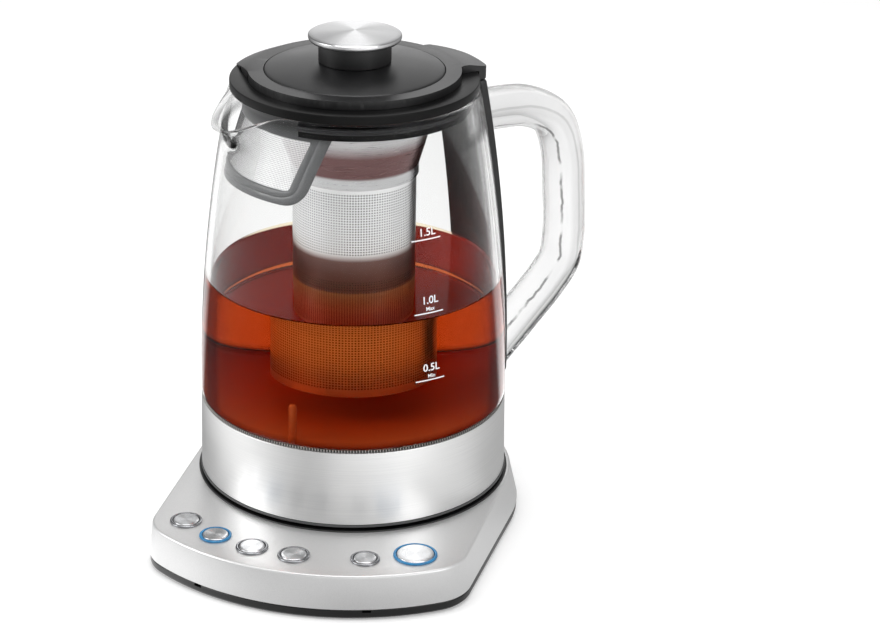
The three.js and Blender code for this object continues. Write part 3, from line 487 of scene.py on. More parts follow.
def satin_plastic(name, tone, roughness, grain_size=1.6, depth=0.02, specular=0.5):
    """Moulded plastic with a fine eroded grain and slight cloudiness in its shine."""
    look = Look(name)
    grain = look.grain(grain_size, 3.0, 0.6)
    cloud = look.grain(0.04)
    dark = linear(*tone)
    light = tuple(min(1.0, c * 1.18 + 0.002) for c in dark)
    patches = look.plus(grain, cloud)
    look.set(
        Base_Color=look.mix(look.ramp(cloud, 0, 1, 0.35, 0.65), dark, light),
        Specular_IOR_Level=specular,
        Roughness=look.ramp(patches, roughness - 0.05, roughness + 0.07, 0.6, 1.4),
        Normal=look.bump(grain, depth, 0.35),
    )
    return look.material


def filter_look():
    """Grey plastic of the spout filter, with painted shade darkening its top, under the collar."""
    look = Look("filter_plastic")
    grain = look.grain(1.6, 3.0, 0.6)
    body = look.shades(grain, (92, 93, 94), (100, 101, 102))
    # Painted shade: darker towards the top, under the collar.
    painted_shade = look.ramp(look.height(), 0, 1, 200.0, 207.0)
    look.set(
        Base_Color=look.mix(painted_shade, body, linear(34, 34, 35)),
        Roughness=look.ramp(grain, 0.3, 0.4),
        Normal=look.bump(grain, 0.02, 0.35),
    )
    return look.material


def rolled_steel(name, tone, roughness, scale=(0.05, 0.05, 3.0), anisotropic=0.3, depth=0.01):
    """Sheet steel with faint rolling lines."""
    look = Look(name)
    lines = look.grain(scale, 4.0, 0.6)
    light = linear(*tone)
    dark = tuple(0.88 * c for c in light)
    look.set(
        Base_Color=look.mix(look.ramp(lines, 0, 1), dark, light),
        Metallic=1.0,
        Roughness=look.ramp(lines, roughness * 0.85, roughness * 1.25),
        Normal=look.bump(lines, depth, 0.4),
        Anisotropic=anisotropic,
    )
    return look.material


def clear(name, ior, sheen, ripple):
    """Glass, clear plastic or tea: see-through, with a faint ripple, and how far it is turned away."""
    look = Look(name)
    waves = look.grain((0.035, 0.035, 0.03), 2.0, 0.4)
    small = look.grain((0.2, 0.2, 0.12), 2.0, 0.4)
    normal = look.bump(look.plus(waves, look.times(small, 0.08)), ripple, 1.0)
    look.set(
        Metallic=0.0,
        Roughness=0.0,
        IOR=ior,
        Transmission_Weight=1.0,
        Specular_Tint=(sheen, sheen, sheen, 1.0),
        Normal=normal,
    )
    return look, look.facing({"Normal": normal})


def glass_look():
    """Clear glass, with painted grey shade at its edges. The spout's lip lets light straight through, so it
    stays bright.
    """
    look, away = clear("clear_glass", 1.4, 0.04, 0.03)
    # Painted shade: grey where the glass turns away from the eye.
    edge = look.math("POWER", look.ramp(away, 0, 1, 0.74, 1.0), 1.3)
    look.set(Base_Color=look.mix(edge, (0.885, 0.888, 0.886), (0.42, 0.42, 0.42)))
    lip = look.ramp(look.height(), 0, 1, 192.0, 197.0)
    look.pierce(look.times(look.ramp(away, 0, 0.66, 0.3, 0.62), lip))
    return look.material


def acrylic_look():
    """Clear plastic of the handle, with painted grey shade along its edges and in painted lines of bent
    light.
    """
    look, away = clear("clear_plastic", 1.49, 0.8, 0.06)
    # Painted shade: grey along the edges and in the painted lines of bent light.
    edge = look.math("POWER", look.ramp(away, 0, 0.9, 0.22, 1.0), 1.3)
    dark = look.math("MAXIMUM", edge, painted_refraction_lines(look))
    look.set(Base_Color=look.mix(dark, (0.84, 0.84, 0.84), (0.1, 0.1, 0.1)))
    look.pierce(look.ramp(away, 0, 0.55, 0.4, 0.75))
    return look.material


def painted_refraction_lines(look):
    """Painted lines and soft grey bands that run along the handle, standing for light that bends in thick
    clear plastic.
    """
    run = look.add("Attribute", attribute_name="run", attribute_type="GEOMETRY").outputs["Vector"]
    along, across, beside = look.parts(run)
    slow = look.noise(look.join(look.times(along, 0.09), 0.0, 0.0), 4.0, 0.65)
    wander = look.times(look.minus(slow, 0.5), 4.0)
    front = look.ramp(beside, 1, 0, -4.0, -2.0)
    back = look.ramp(beside, 0, 1, 2.0, 4.0)

    def band(at, width, soft, share, side, drift=0.0):
        centre = look.plus(look.times(wander, drift), at)
        off = look.math("ABSOLUTE", look.minus(across, centre))
        return look.times(look.ramp(off, share, 0.0, width, width + soft), side)

    broken = look.noise(look.join(look.times(along, 0.07), 3.0, 0.0))
    found = look.times(band(-6.6, 0.3, 0.35, 1.0, front, 0.8), look.ramp(broken, 0.1, 1, 0.4, 0.5))
    cloudy = look.noise(look.join(look.times(along, 0.02), look.times(across, 0.12), 0.0))
    more = [
        band(3.6, 4.4, 2.4, 0.3, front),
        band(2.2, 0.4, 0.8, 0.6, front, 0.3),
        band(-9.6, 0.6, 0.8, 0.8, back),
        look.ramp(cloudy, 0.0, 0.1, 0.4, 0.7),
    ]
    for mark in more:
        found = look.math("MAXIMUM", found, mark)
    return found


# Tone of the tea's wall, painted by how far it is turned away: clear, amber, a painted dark rim of shade, and
# amber from above
TEA_TONES = [
    (0.13, (0.98, 0.98, 0.98)), (0.2, (0.86, 0.6, 0.4)), (0.25, (0.62, 0.3, 0.15)),
    (0.27, (0.2, 0.05, 0.03)), (0.298, (0.16, 0.04, 0.02)), (0.322, (1.0, 0.42, 0.16)),
    (1.0, (1.0, 0.42, 0.16)),
]


def tea_look():
    """Tea: it takes out blue and green on the way through, with painted shade that makes it darkest at the
    sides of the jug.
    """
    ior = 1.33
    look, away = clear("tea", ior, 0.0, 0.02)
    up = look.math("ABSOLUTE", look.parts(look.add("NewGeometry").outputs["Normal"])[2])
    side = look.ramp(up, 1, 0, 0.3, 0.6)
    # Painted shade: a dark band round the bottom of the tea's wall.
    low = look.ramp(look.height(), 0.9, 0, 63.2, 66.0)
    wall = look.mix(low, look.table(away, TEA_TONES), (0.2, 0.05, 0.03))
    look.set(Base_Color=look.mix(side, (1.0, 0.86, 0.56), wall))
    volume = look.add("VolumeAbsorption", {"Color": colour((0.869, 0.488, 0.02)), "Density": 50.0})
    look.put(look.output.inputs["Volume"], volume.outputs[0])
    calm = look.add("BsdfRefraction", {"Color": colour((1.0, 0.9, 0.7)), "Roughness": 0.0, "IOR": ior})
    look.cover(look.times(look.minus(1.0, side), 0.6), calm)
    return look.material


def tea_lit_floor_steel():
    """Steel of the jug's floor, blasted dull, with amber painted light: the colour of the light that reaches
    it through the tea.
    """
    look = Look("inner_steel")
    grain = look.grain(0.8, 3.0, 0.6)
    # Painted light: the floor is coloured amber as if lit through the tea.
    look.set(
        Base_Color=look.shades(grain, (178, 88, 42), (190, 100, 52)),
        Metallic=0.35,
        Roughness=look.ramp(grain, 0.48, 0.56),
        Normal=look.bump(grain, 0.01, 0.3),
    )
    return look.material


def perforated_steel():
    """The basket's tube: plain at the top and in the middle, with rows of fine holes between, and a painted
    reflection of the tea near its level.
    """
    columns, pitch = 144, 1.25
    look = Look("basket_steel")
    x, y, z = look.parts(look.place())

    def between(low, high):
        return look.times(look.math("LESS_THAN", z, high), look.math("GREATER_THAN", z, low))

    def from_hole(value):
        return look.minus(look.math("FRACT", value), 0.5)

    across = from_hole(look.times(look.angle(x, y), columns / (2 * math.pi)))
    up = from_hole(look.math("DIVIDE", z, pitch))
    rows = look.math("ADD", between(140.1, 170.3), between(77.5, 127.0), clamp=True)
    hole = look.times(look.ramp(look.reach(across, up), 1, 0, 0.27, 0.33), rows)
    lines = look.grain((0.08, 0.08, 1.5), 3.0, 0.6)
    tone = look.shades(lines, (234, 234, 235), (244, 244, 244))
    # Painted reflection of the tea: a dark red-brown band from just above the tea's level, fainter just below
    # it.
    above_tea_band = look.times(look.ramp(z, 0.35, 0.9, 120.0, 122.5), look.ramp(z, 1, 0, 137.0, 140.5))
    painted_tea_reflection = look.times(above_tea_band, look.ramp(z, 0, 1, 100.0, 116.0))
    reflection_tone = look.mix(painted_tea_reflection, tone, linear(102, 58, 50))
    look.set(
        Base_Color=look.mix(hole, reflection_tone, linear(116, 116, 118)),
        Metallic=1.0,
        Roughness=look.ramp(lines, 0.3, 0.36),
        Normal=look.bump(look.times(hole, -1.0), 0.02, 0.3),
    )
    look.pierce(look.times(hole, 0.45))
    return look.material


def funnel_steel():
    """Polished steel, darker and warmer low in the cone, where a reflection of the tea is painted on."""
    look = Look("funnel_steel")
    z = look.height()
    lines = look.grain((0.05, 0.05, 2.0), 3.0, 0.6)
    tone = look.shades(lines, (190, 190, 191), (204, 204, 205))
    # Painted reflection of the tea: reddish-brown low in the cone.
    low = look.times(look.ramp(z, 0, 1, 176.5, 178.0), look.ramp(z, 1, 0, 188.0, 195.0))
    look.set(
        Base_Color=look.mix(look.times(low, 0.85), tone, linear(98, 48, 46)),
        Metallic=1.0,
        Roughness=look.ramp(lines, 0.26, 0.32),
        Normal=look.bump(lines, 0.003, 0.3),
    )
    return look.material


def woven_mesh():
    """Fine woven wire, with the light through its gaps, and painted shade where it turns away."""
    radius, pitch = 56, 0.8
    look = Look("mesh_steel")
    x, y, z = look.parts(look.place())

    def wire(value):
        off = look.math("ABSOLUTE", look.minus(look.math("FRACT", value), 0.5))
        return look.ramp(off, 0, 1, 0.4, 0.45)

    across = wire(look.times(look.angle(x, y), radius / pitch))
    solid = look.math("MAXIMUM", across, wire(look.math("DIVIDE", z, pitch)))
    tone = look.mix(look.grain(0.3), linear(238, 238, 239), linear(250, 250, 250))
    # Painted shade: the wire darkens where it turns away from the eye.
    look.set(
        Base_Color=look.mix(look.ramp(look.facing(), 0, 1, 0.3, 0.75), tone, linear(90, 90, 91)),
        Metallic=0.4,
        Roughness=0.34,
        Normal=look.bump(solid, 0.06, 0.8),
    )
    look.pierce(look.times(look.minus(1.0, solid), 0.7))
    return look.material


def lit_ring():
    """The blue light round a button that is on."""
    look = Look("bezel_light")
    share = look.ramp(look.grain(0.25), 0, 1, 0.35, 0.65)
    tone = look.mix(share, linear(28, 98, 142), linear(44, 120, 166))
    look.set(Base_Color=tone, Roughness=0.25, Metallic=0.0, Emission_Color=tone, Emission_Strength=0.22)
    return look.material


def toothed_silicone():
    """Black silicone whose teeth are pale at their outer tips."""
    look = Look("silicone_teeth")
    x, y, z = look.parts(look.place())
    turn = look.minus(look.angle(x, y), HANDLE_TURN)
    share = look.math("FRACT", look.times(turn, SEAL_TEETH / (2 * math.pi)))
    tooth = look.math("LESS_THAN", share, 0.45)
    pale = look.times(tooth, look.ramp(look.reach(x, y), 0, 1, 71.9, 72.15))
    grain = look.grain(1.0)
    dark = look.mix(grain, linear(20, 18, 18), linear(34, 32, 32))
    look.set(
        Base_Color=look.mix(pale, dark, linear(168, 164, 160)),
        Roughness=look.ramp(grain, 0.45, 0.6, 0, 1),
    )
    return look.material


def board_green():
    """Circuit board with tracks under green lacquer."""
    look = Look("circuit_board")
    x, y, z = look.parts(look.place((0.4, 0.4, 0.4)))

    def stripes(value, pitch, width):
        return look.math("GREATER_THAN", look.math("SINE", look.times(value, pitch)), width)

    track = look.math("MAXIMUM", stripes(x, 2.2, 0.6), stripes(y, 2.0, 0.7))
    spots = look.grain(0.3)
    mask = look.times(track, look.math("GREATER_THAN", spots, 0.5))
    look.set(
        Base_Color=look.mix(mask, linear(20, 84, 46), linear(52, 124, 74)),
        Roughness=look.ramp(spots, 0.35, 0.5, 0, 1),
        Normal=look.bump(mask, 0.04, 0.5),
    )
    return look.material


def print_white():
    """White screen print, with a faint painted glow."""
    look = Look("white_print")
    tone = look.shades(look.grain(2.0), (226, 228, 230), (246, 247, 248))
    # Painted light: the print glows faintly though it is no lamp.
    look.set(Base_Color=tone, Roughness=0.5, Emission_Color=tone, Emission_Strength=0.12)
    return look.material


BAND = brushed_band()
SILVER = shell_silver()
BLACK = satin_plastic("black_plastic", (10, 10, 11), 0.4)
COLLAR = satin_plastic("black_collar", (15, 15, 16), 0.33, 2.2, 0.01)
RIM = satin_plastic("black_rim", (6, 6, 6), 0.3, 2.2, 0.006, 0.15)
GREY = satin_plastic("grey_plastic", (66, 67, 68), 0.4)
FILTER = filter_look()
RUBBER = satin_plastic("rubber", (26, 26, 27), 0.8, 0.8, 0.05)
SILICONE = satin_plastic("silicone", (30, 30, 32), 0.55)
TEETH = toothed_silicone()
POLISHED = rolled_steel("polished_steel", (214, 214, 215), 0.12, (0.05, 0.05, 2.0), 0.2, 0.004)
BEZEL = rolled_steel("bezel_steel", (150, 151, 154), 0.2, (0.4, 0.4, 0.4))
SCREW = rolled_steel("screw_steel", (150, 150, 154), 0.3, (1.0, 1.0, 1.0))
BRASS = rolled_steel("brass", (200, 160, 96), 0.28)
KNOB = spun("spun_steel", AXIS, (238, 238, 239), 0.2, 0.9, -70.0, 0.45)
INNER = tea_lit_floor_steel()
BASKET = perforated_steel()
FUNNEL = funnel_steel()
MESH = woven_mesh()
LIGHT = lit_ring()
BOARD = board_green()
PRINT = print_white()
GLASS = glass_look()
PLASTIC = acrylic_look()
TEA = tea_look()
CLEAR = (GLASS, PLASTIC, TEA)


def dress(obj, material):
    obj.data.materials.clear()
    obj.data.materials.append(material)


def piece(obj, body, material, slot=None, node=None):
    """Finishes a piece: its material, its body and the node that it stands for. The slot is not used."""
    dress(obj, material)
    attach(obj, body)
    if node:
        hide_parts(node)
    obj.visible_shadow = material not in CLEAR


def ring(name, section, body, finish, ease=0.3, corner=3, steps=WIDE, turn=HANDLE_TURN, at=(0.0, 0.0)):
    """A piece turned from a section with eased corners. The finish is (material, slot, node)."""
    shape = turned(eased(section, ease, corner), steps, at)
    piece(make(name, *shape, turn), body, *finish)


# Base
def corner_centre(side, front, taper):
    corner = CORNER_R - front
    across = BACK_R - side - corner
    along = math.sqrt((FRONT_R - front - corner) ** 2 - across ** 2)
    c, s = math.cos(math.radians(taper)), math.sin(math.radians(taper))
    return across * c - along * s, -across * s - along * c


def base_outline(side, front, taper):
    """Plan of the base: a round back, sides that taper forward, round corners and a front arc."""
    x, y = corner_centre(side, front, taper)
    taper = math.radians(taper)
    corner = CORNER_R - front
    turn = math.atan2(-y, x)
    return (
        arc(0, 0, BACK_R - side, -taper, math.pi + taper, 72)
        + arc(-x, y, corner, math.pi + taper, math.pi + turn, 20)
        + arc(0, 0, FRONT_R - front, math.pi + turn, 2 * math.pi - turn, 56)
        + arc(x, y, corner, 2 * math.pi - turn, 2 * math.pi - taper, 20)
    )


def at_angle(reach, degrees):
    a = math.radians(degrees)
    return reach * math.cos(a), reach * math.sin(a)


def pin(radius, low, high):
    """Section of a plain round body."""
    return [(0, low), (radius, low), (radius, high), (0, high)]


def base_shell():
    lip, edge, steps, above = 0.35, 1.2, 8, 30
    side, front = 3.6, 0.8
    levels = [
        (SHELL_BOTTOM, base_outline(lip, lip, LOW_TAPER)),
        (SHELL_BOTTOM + lip, base_outline(0, 0, LOW_TAPER)),
    ]
    for i in range(steps + 1):
        turn = i / steps * math.pi / 2
        inset = edge * (1 - math.cos(turn))
        z = BASE_TOP - edge * (1 - math.sin(turn))
        levels.append((z, base_outline(side + inset, front + inset, TOP_TAPER)))
    body = make("base_shell_skin", *lofted(levels))
    room = [
        (0, base_outline(BASE_WALL, BASE_WALL, LOW_TAPER)),
        (CAVITY_TOP, base_outline(side + BASE_WALL, front + BASE_WALL, TOP_TAPER)),
    ]
    cut(body, lofted(room))
    slope, bend = 0.5, 0.4
    recess = [
        (0, RECESS_Z), (RECESS_R - slope, RECESS_Z), (RECESS_R, RECESS_Z + bend),
        (RECESS_R, BASE_TOP - bend), (RECESS_R + slope, BASE_TOP), (RECESS_R + slope, above), (0, above),
    ]
    cut(body, turned(recess))
    cut(body, turned(pin(TOWER_R + FIT, 5, above), MEDIUM))
    for angle, radius, *_ in BUTTONS:
        hole = pin(radius - FIT, 14, above)
        cut(body, turned(hole, SMALL, at_angle(BUTTON_REACH, angle)))
    carve(body, inlet_rod(5.9, 73, 90))
    tidy(body, 24)
    piece(body, "base", SILVER, "silver_shell", "base_shell")


def inlet_rod(radius, start, end):
    """A round rod along y at the cord inlet's place."""
    height = 12.0
    verts, faces = turned(eased(pin(radius, start, end)), SMALL)
    return make("tool", [(x, z, height - y) for x, y, z in verts], faces)


def base_plate():
    rim = 0.2
    levels = []
    insets = (
        (FOOT, 1.3), (FOOT + 0.3, 1.0), (FOOT + 1.0, 0.35), (FOOT + 1.4, rim), (PLATE_TOP - 0.3, rim),
        (PLATE_TOP, 0.5),
    )
    for z, inset in insets:
        levels.append((z, base_outline(inset, inset, LOW_TAPER)))
    body = make("base_plate_rim", *lofted(levels))
    notch, inner, outer = 2, -112, -120
    for angle in (-22.4, 18):
        c, s = at_angle(1, angle)
        plan = ((-notch, outer), (notch, outer), (notch, inner), (-notch, inner))
        cut(body, extruded([(x * c - y * s, x * s + y * c) for x, y in plan], PLATE_TOP - 1.2, 9))
    for i in range(1, 5):
        cut(body, turned(pin(8.3, -2, 2.2), SMALL, foot_place(i)))
    tidy(body, 24)
    piece(body, "base", BLACK, "black_plastic", "base_plate")


def foot_place(i):
    """Where a foot stands, about the jug's axis."""
    x, y = middle(f"foot_{i}")
    return x - AXIS[0], y - AXIS[1]


def feet():
    section = [(0, 0.25), (5.6, 0.25), (6.0, 0), (7.2, 0), (8.0, 0.6), (8.0, 2.1), (0, 2.1)]
    for i in range(1, 5):
        finish = (RUBBER, "rubber", f"foot_{i}")
        ring(f"foot_pad_{i}", section, "base", finish, 0.2, steps=SMALL, turn=0.0, at=foot_place(i))


def buttons():
    """Each button stands in its bezel, with a slightly dished face."""
    low, shoulder, rise = 15.0, 17.8, 22.5
    for i, (angle, radius, painted_fan_turn, depth) in enumerate(BUTTONS, 1):
        x, y = at_angle(BUTTON_REACH, angle)
        cap = radius - BEZEL_WIDTH
        section = [
            (cap + 0.3, CAVITY_TOP, 0), (cap + 0.9, CAVITY_TOP, 0), (cap + 0.9, BASE_TOP + 0.1, 0),
            (radius, BASE_TOP + 0.1, 0.1), (radius, rise, 0.4), (radius - 0.55, rise + 0.3, 0.3),
            (cap + 0.3, rise + 0.2, 0.25),
        ]
        finish = (BEZEL, "bezel_steel", f"bezel_{i}")
        if i in LIT_BUTTONS:
            finish = (LIGHT, "bezel_light", f"bezel_{i}")
        ring(f"button_ring_{i}", section, "base", finish, 0.2, 4, SMALL, 0.0, (x, y))
        section = [
            (0, low), (2.4, low), (2.4, low + 1.6), (cap + 1.2, low + 1.6), (cap + 1.2, shoulder),
            (cap, shoulder), (cap, rise + 0.05, 0.2), (cap - 0.4, rise + 0.35, 0.3),
            (cap * 0.8, rise + 0.45, 0.6), (cap * 0.45, rise + 0.32, 0.8), (0, rise + 0.26),
        ]
        centre = (x + AXIS[0], y + AXIS[1])
        steel = spun(f"button_steel_{i}", centre, (226, 227, 229), 0.28, 0.8, painted_fan_turn, depth)
        finish = (steel, "spun_steel", f"button_{i}")
        ring(f"button_face_{i}", section, f"key_{i}", finish, 0.2, 4, SMALL, 0.0, (x, y))


def tower():
    """The round power connection, and the bush in the cord inlet."""
    top, groove, wall = 33.0, 19.0, TOWER_R - 3.8
    section = [
        (0, 5.0, 0), (20, 5.0), (20, 7.0), (TOWER_R, 7.0), (TOWER_R, top, 1.0), (wall, top, 0.3),
        (wall, groove, 0), (8, groove, 0), (8, top, 0.5), (3.2, top, 0.3), (3.2, groove, 0), (0, groove, 0),
    ]
    finish = (BLACK, "black_plastic", "power_tower")
    ring("tower", section, "base", finish, steps=MEDIUM, turn=0.0)
    for name, outer in (("tower_contact_ring", 10.9), ("tower_contact_sleeve", 2.9)):
        finish = (BRASS, "brass", name)
        ring(name + "_metal", hoop(outer, 19.3, 27.3), "base", finish, 0.15, steps=SMALL, turn=0.0)
    bush = inlet_rod(7.6, 80.1, 81.9)
    carve(bush, inlet_rod(5.6, 74.1, 81.5), "UNION")
    carve(bush, inlet_rod(3.5, 70.0, 86.0))
    bush.name = "cord_inlet_bush"
    tidy(bush)
    piece(bush, "base", RUBBER, "rubber", "cord_inlet")


def hoop(outer, low, high, wall=0.5):
    """Section of a thin ring."""
    return [(outer - wall, low), (outer, low), (outer, high), (outer - wall, high)]


def rim_shade_ring():
    """A thin black ring that the jug's rim stands over: painted shade for the gap under the rim."""
    inner, outer, top = RECESS_R + 0.6, 74.4, BASE_TOP + 0.6
    section = [(inner, BASE_TOP), (outer, BASE_TOP), (outer - 0.5, top, 0.3), (inner, top, 0.3)]
    ring("rim_shade_ring", section, "base", (BLACK,), 0.1, turn=0.0)


# Jug
def glass_radius(z):
    """Outside of the glass at a height."""
    t = (z - GLASS_BOTTOM) / (GLASS_TOP - GLASS_BOTTOM)
    return BAND_TOP_R - (BAND_TOP_R - MOUTH_R) * t * t


def steps_up(low, high, count):
    return [low + (high - low) * i / count for i in range(count + 1)]


def spout_share(angle, z):
    """How far the spout pulls the wall out at an angle and height, as a share of its full reach."""
    away = abs(math.pi - abs(angle))
    rise = (z - (GLASS_TOP - SPOUT_HEIGHT)) / SPOUT_HEIGHT
    if away > SPOUT_HALF or rise <= 0:
        return 0.0
    across = (1 + math.cos(math.pi * away / SPOUT_HALF)) / 2
    return across ** 1.5 * rise ** 1.7


def pulled(verts):
    """Pulls the spout out of the mouth of the glass."""
    out = []
    for x, y, z in verts:
        share = spout_share(math.atan2(y, x), z)
        reach = math.hypot(x, y)
        k = (reach + SPOUT_REACH * share) / reach
        out.append((x * k, y * k, z - SPOUT_DROP * share))
    return out


def glass_jug():
    heights = steps_up(GLASS_BOTTOM + 0.6, GLASS_TOP - 2.2, 46)
    outer = [(glass_radius(z), z) for z in heights]
    inner = [(glass_radius(z) - GLASS_WALL, z) for z in reversed(heights)]
    lip = []
    bead = ((0.12, 1.6), (0.1, 1.0), (-0.3, 0.4), (-0.9, 0.07), (-1.5, 0.0), (-2.1, 0.07), (-2.7, 0.4))
    for out, down in bead + ((-2.98, 1.0), (-3.0, 1.6)):
        lip.append((MOUTH_R + out, GLASS_TOP - down))
    inside = BAND_TOP_R - GLASS_WALL
    foot = [
        (inside + 0.3, GLASS_BOTTOM + 0.1), (inside + 0.7, GLASS_BOTTOM), (BAND_TOP_R - 0.7, GLASS_BOTTOM),
        (BAND_TOP_R - 0.3, GLASS_BOTTOM + 0.1),
    ]
    verts, faces = turned(outer + lip + inner + foot, GLASS_ROUND)
    wall = make("glass_jug_wall", pulled(verts), faces, HANDLE_TURN, 60)
    piece(wall, "jug", GLASS, "clear_glass", "glass_jug")


def jug_bottom():
    """The steel band, the cover and power connection under it, and the floor with its heater."""
    section = [
        (BAND_R - 1.0, BAND_BOTTOM), (BAND_R, BAND_BOTTOM), (BAND_TOP_R, BAND_TOP),
        (BAND_TOP_R - 1.0, BAND_TOP),
    ]
    ring("steel_band_skin", section, "jug", (BAND, "band_steel", "steel_band"), 0.3, 4, FINEST)
    low, foot, bore, rim = 23.8, 20.6, 18.5, BAND_R + 0.4
    section = [
        (bore, low, 0), (58.0, low), (58.0, foot), (62.0, foot), (62.0, low), (rim, low, 0.5),
        (rim, low + 1.2, 0.4), (rim - 1.7, low + 1.2, 0), (rim - 1.7, low + 2, 0), (bore, low + 2, 0),
    ]
    ring("bottom_cover_skin", section, "jug", (GREY, "grey_plastic", "bottom_cover"))
    inner, outer, flange = 16.2, 18.2, 24.2
    section = [
        (0, 35, 0), (inner, 35), (inner, low), (outer, low), (outer, 25.9, 0), (flange, 25.9, 0),
        (flange, 27.9), (outer, 27.9, 0), (outer, 37), (0, 37, 0),
    ]
    ring("connector", section, "jug", (BLACK, "black_plastic", "jug_connector"), steps=MEDIUM)
    low, high = 20.5, 34.7
    finish = (BRASS, "brass", "jug_contact_ring")
    ring("contact_ring", hoop(9.5, low, high), "jug", finish, 0.15, steps=SMALL)
    section = [(0, low, 0), (1.6, low, 0.8), (1.6, high), (0, high, 0)]
    ring("contact_pin", section, "jug", (BRASS, "brass", "jug_contact_pin"), steps=THIN)
    lip, edge = 69.3, 71.0
    section = [
        (0, 59.6, 0), (69.8, 59.6, 0), (69.8, 52.6), (edge, 52.6), (edge, 60.9, 0.4), (lip, 61.0, 0.1),
        (lip, 62.5), (68.9, 62.5), (68.7, 61.3, 0.5), (67.8, 60.8, 0.5), (0, 60.8, 0),
    ]
    ring("floor", section, "jug", (INNER, "inner_steel", "floor_plate"))
    heater = make("heater", *turned(arc(45, 55.9, 3.6, 0, 2 * math.pi, 20)), HANDLE_TURN)
    piece(heater, "jug", INNER, "inner_steel", "heating_ring")


def seal_ring():
    """The seal between band and glass, with fine teeth round it: two points out, two in."""
    outer, root, low, high = 72.25, 71.7, 61.2, 62.6
    section = eased(hoop(outer, low, high, 2.75), 0.2)
    steps = 4 * SEAL_TEETH
    verts, faces = turned(section, steps)
    toothed = []
    for i, (x, y, z) in enumerate(verts):
        gap = i % steps % 4 >= 2 and math.hypot(x, y) > 71.8
        k = root / outer if gap else 1
        toothed.append((x * k, y * k, z))
    piece(make("seal", toothed, faces, HANDLE_TURN), "jug", TEETH, "silicone", "seal_ring")


def sensor():
    radius, top = 1.8, 77.0
    section = [(0, 50, 0), (radius, 50), (radius, top - 1.4, 0.8), (radius - 0.6, top, 0.5), (0, top, 0)]
    finish = (INNER, "polished_steel", "temperature_sensor")
    ring("sensor", section, "jug", finish, 0.4, steps=THIN, at=at_angle(55, -146.7))


def spine():
    """The black strip that carries the handle, close behind the glass."""
    rows, columns, half = 48, 24, 21.0
    verts = []
    for layer in (0.3, 3.8):
        for z in steps_up(GLASS_BOTTOM, GLASS_TOP, rows):
            r = glass_radius(z) + layer
            verts += [(math.sqrt(r * r - y * y), y, z) for y in steps_up(-half, half, columns)]
    strip = make("handle_spine_skin", verts, sheet_faces(rows, columns), HANDLE_TURN)
    bevel(strip, 0.7, 50)
    piece(strip, "jug", COLLAR, "black_collar", "handle_spine")


def spline(points, steps):
    """A centripetal curve through points, as a list of points."""
    before = tuple(2 * a - b for a, b in zip(points[0], points[1]))
    after = tuple(2 * a - b for a, b in zip(points[-1], points[-2]))
    ends = [before] + points + [after]
    out = []
    for i in range(len(points) - 1):
        p = [Vector((*q, 0)) for q in ends[i:i + 4]]
        t = [0.0]
        for a, b in zip(p, p[1:]):
            t.append(t[-1] + math.sqrt(max((b - a).length, 1e-9)))

        def between(first, second, start, end, u):
            span = t[end] - t[start]
            return first * ((t[end] - u) / span) + second * ((u - t[start]) / span)

        for k in range(steps):
            u = t[1] + (t[2] - t[1]) * k / steps
            a1, a2, a3 = (between(p[n], p[n + 1], n, n + 1, u) for n in range(3))
            b1, b2 = between(a1, a2, 0, 2, u), between(a2, a3, 1, 3, u)
            c = between(b1, b2, 1, 2, u)
            out.append((c.x, c.y))
    out.append(points[-1])
    return out


# The handle's middle line, from the spine's top round to its bottom, as shares of its reach and height
HANDLE_PATH = [
    (-0.35, 1), (0.1, 1.003), (0.45, 0.99), (0.78, 0.925), (0.93, 0.8), (0.98, 0.62),
    (1, 0.44), (0.96, 0.335), (0.8, 0.255), (0.45, 0.13), (0.1, 0.01), (-0.15, -0.075),
]
HANDLE_BOTTOM, HANDLE_REACH, HANDLE_HEIGHT = 64, 45, 125.5


def handle():
    """A bar with a softly squared section, cut off where it meets the spine."""
    points = []
    for out, up in HANDLE_PATH:
        points.append((BAND_TOP_R + out * HANDLE_REACH, HANDLE_BOTTOM + up * HANDLE_HEIGHT))
    line = spline(points, 8)
    normals = []
    for i in range(len(line)):
        a, b = Vector(line[max(i - 1, 0)]), Vector(line[min(i + 1, len(line) - 1)])
        d = (b - a).normalized()
        normals.append((-d.y, d.x))
    deep, wide, power, count = 9.8, 10.3, 2 / 2.35, 40
    section = []
    for c, s in arc(0, 0, 1, 0, 2 * math.pi, count):
        section.append((deep * math.copysign(abs(c) ** power, c), wide * math.copysign(abs(s) ** power, s)))
    bar = make("handle_bar", *swept(line, normals, section), HANDLE_TURN)
    away = 4.1
    shape = [(0, 0), (BAND_R + away, 0)]
    shape += [(glass_radius(z) + away, z) for z in steps_up(GLASS_BOTTOM, GLASS_TOP, 40)]
    shape += [(0, GLASS_TOP)]
    cut(bar, turned(shape, FINEST), HANDLE_TURN)
    tidy(bar, 50)
    mark_run(bar, line, normals)
    piece(bar, "jug", PLASTIC, "clear_plastic", "handle")


def mark_run(bar, line, normals):
    """Stores where each point lies along, across and beside the handle's middle line, in millimetres."""
    lengths = [0.0]
    for a, b in zip(line, line[1:]):
        lengths.append(lengths[-1] + math.dist(a, b))
    c, s = math.cos(HANDLE_TURN), math.sin(HANDLE_TURN)
    values = []
    for vertex in bar.data.vertices:
        x, y, z = vertex.co.x / MM - AXIS[0], vertex.co.y / MM - AXIS[1], vertex.co.z / MM
        out, beside = x * c + y * s, y * c - x * s
        i = min(range(len(line)), key=lambda k: (line[k][0] - out) ** 2 + (line[k][1] - z) ** 2)
        nx, nz = normals[i]
        dx, dz = out - line[i][0], z - line[i][1]
        values += [lengths[i] + dx * nz - dz * nx, dx * nx + dz * nz, beside]
    run = bar.data.attributes.new("run", "FLOAT_VECTOR", "POINT")
    run.data.foreach_set("vector", values)


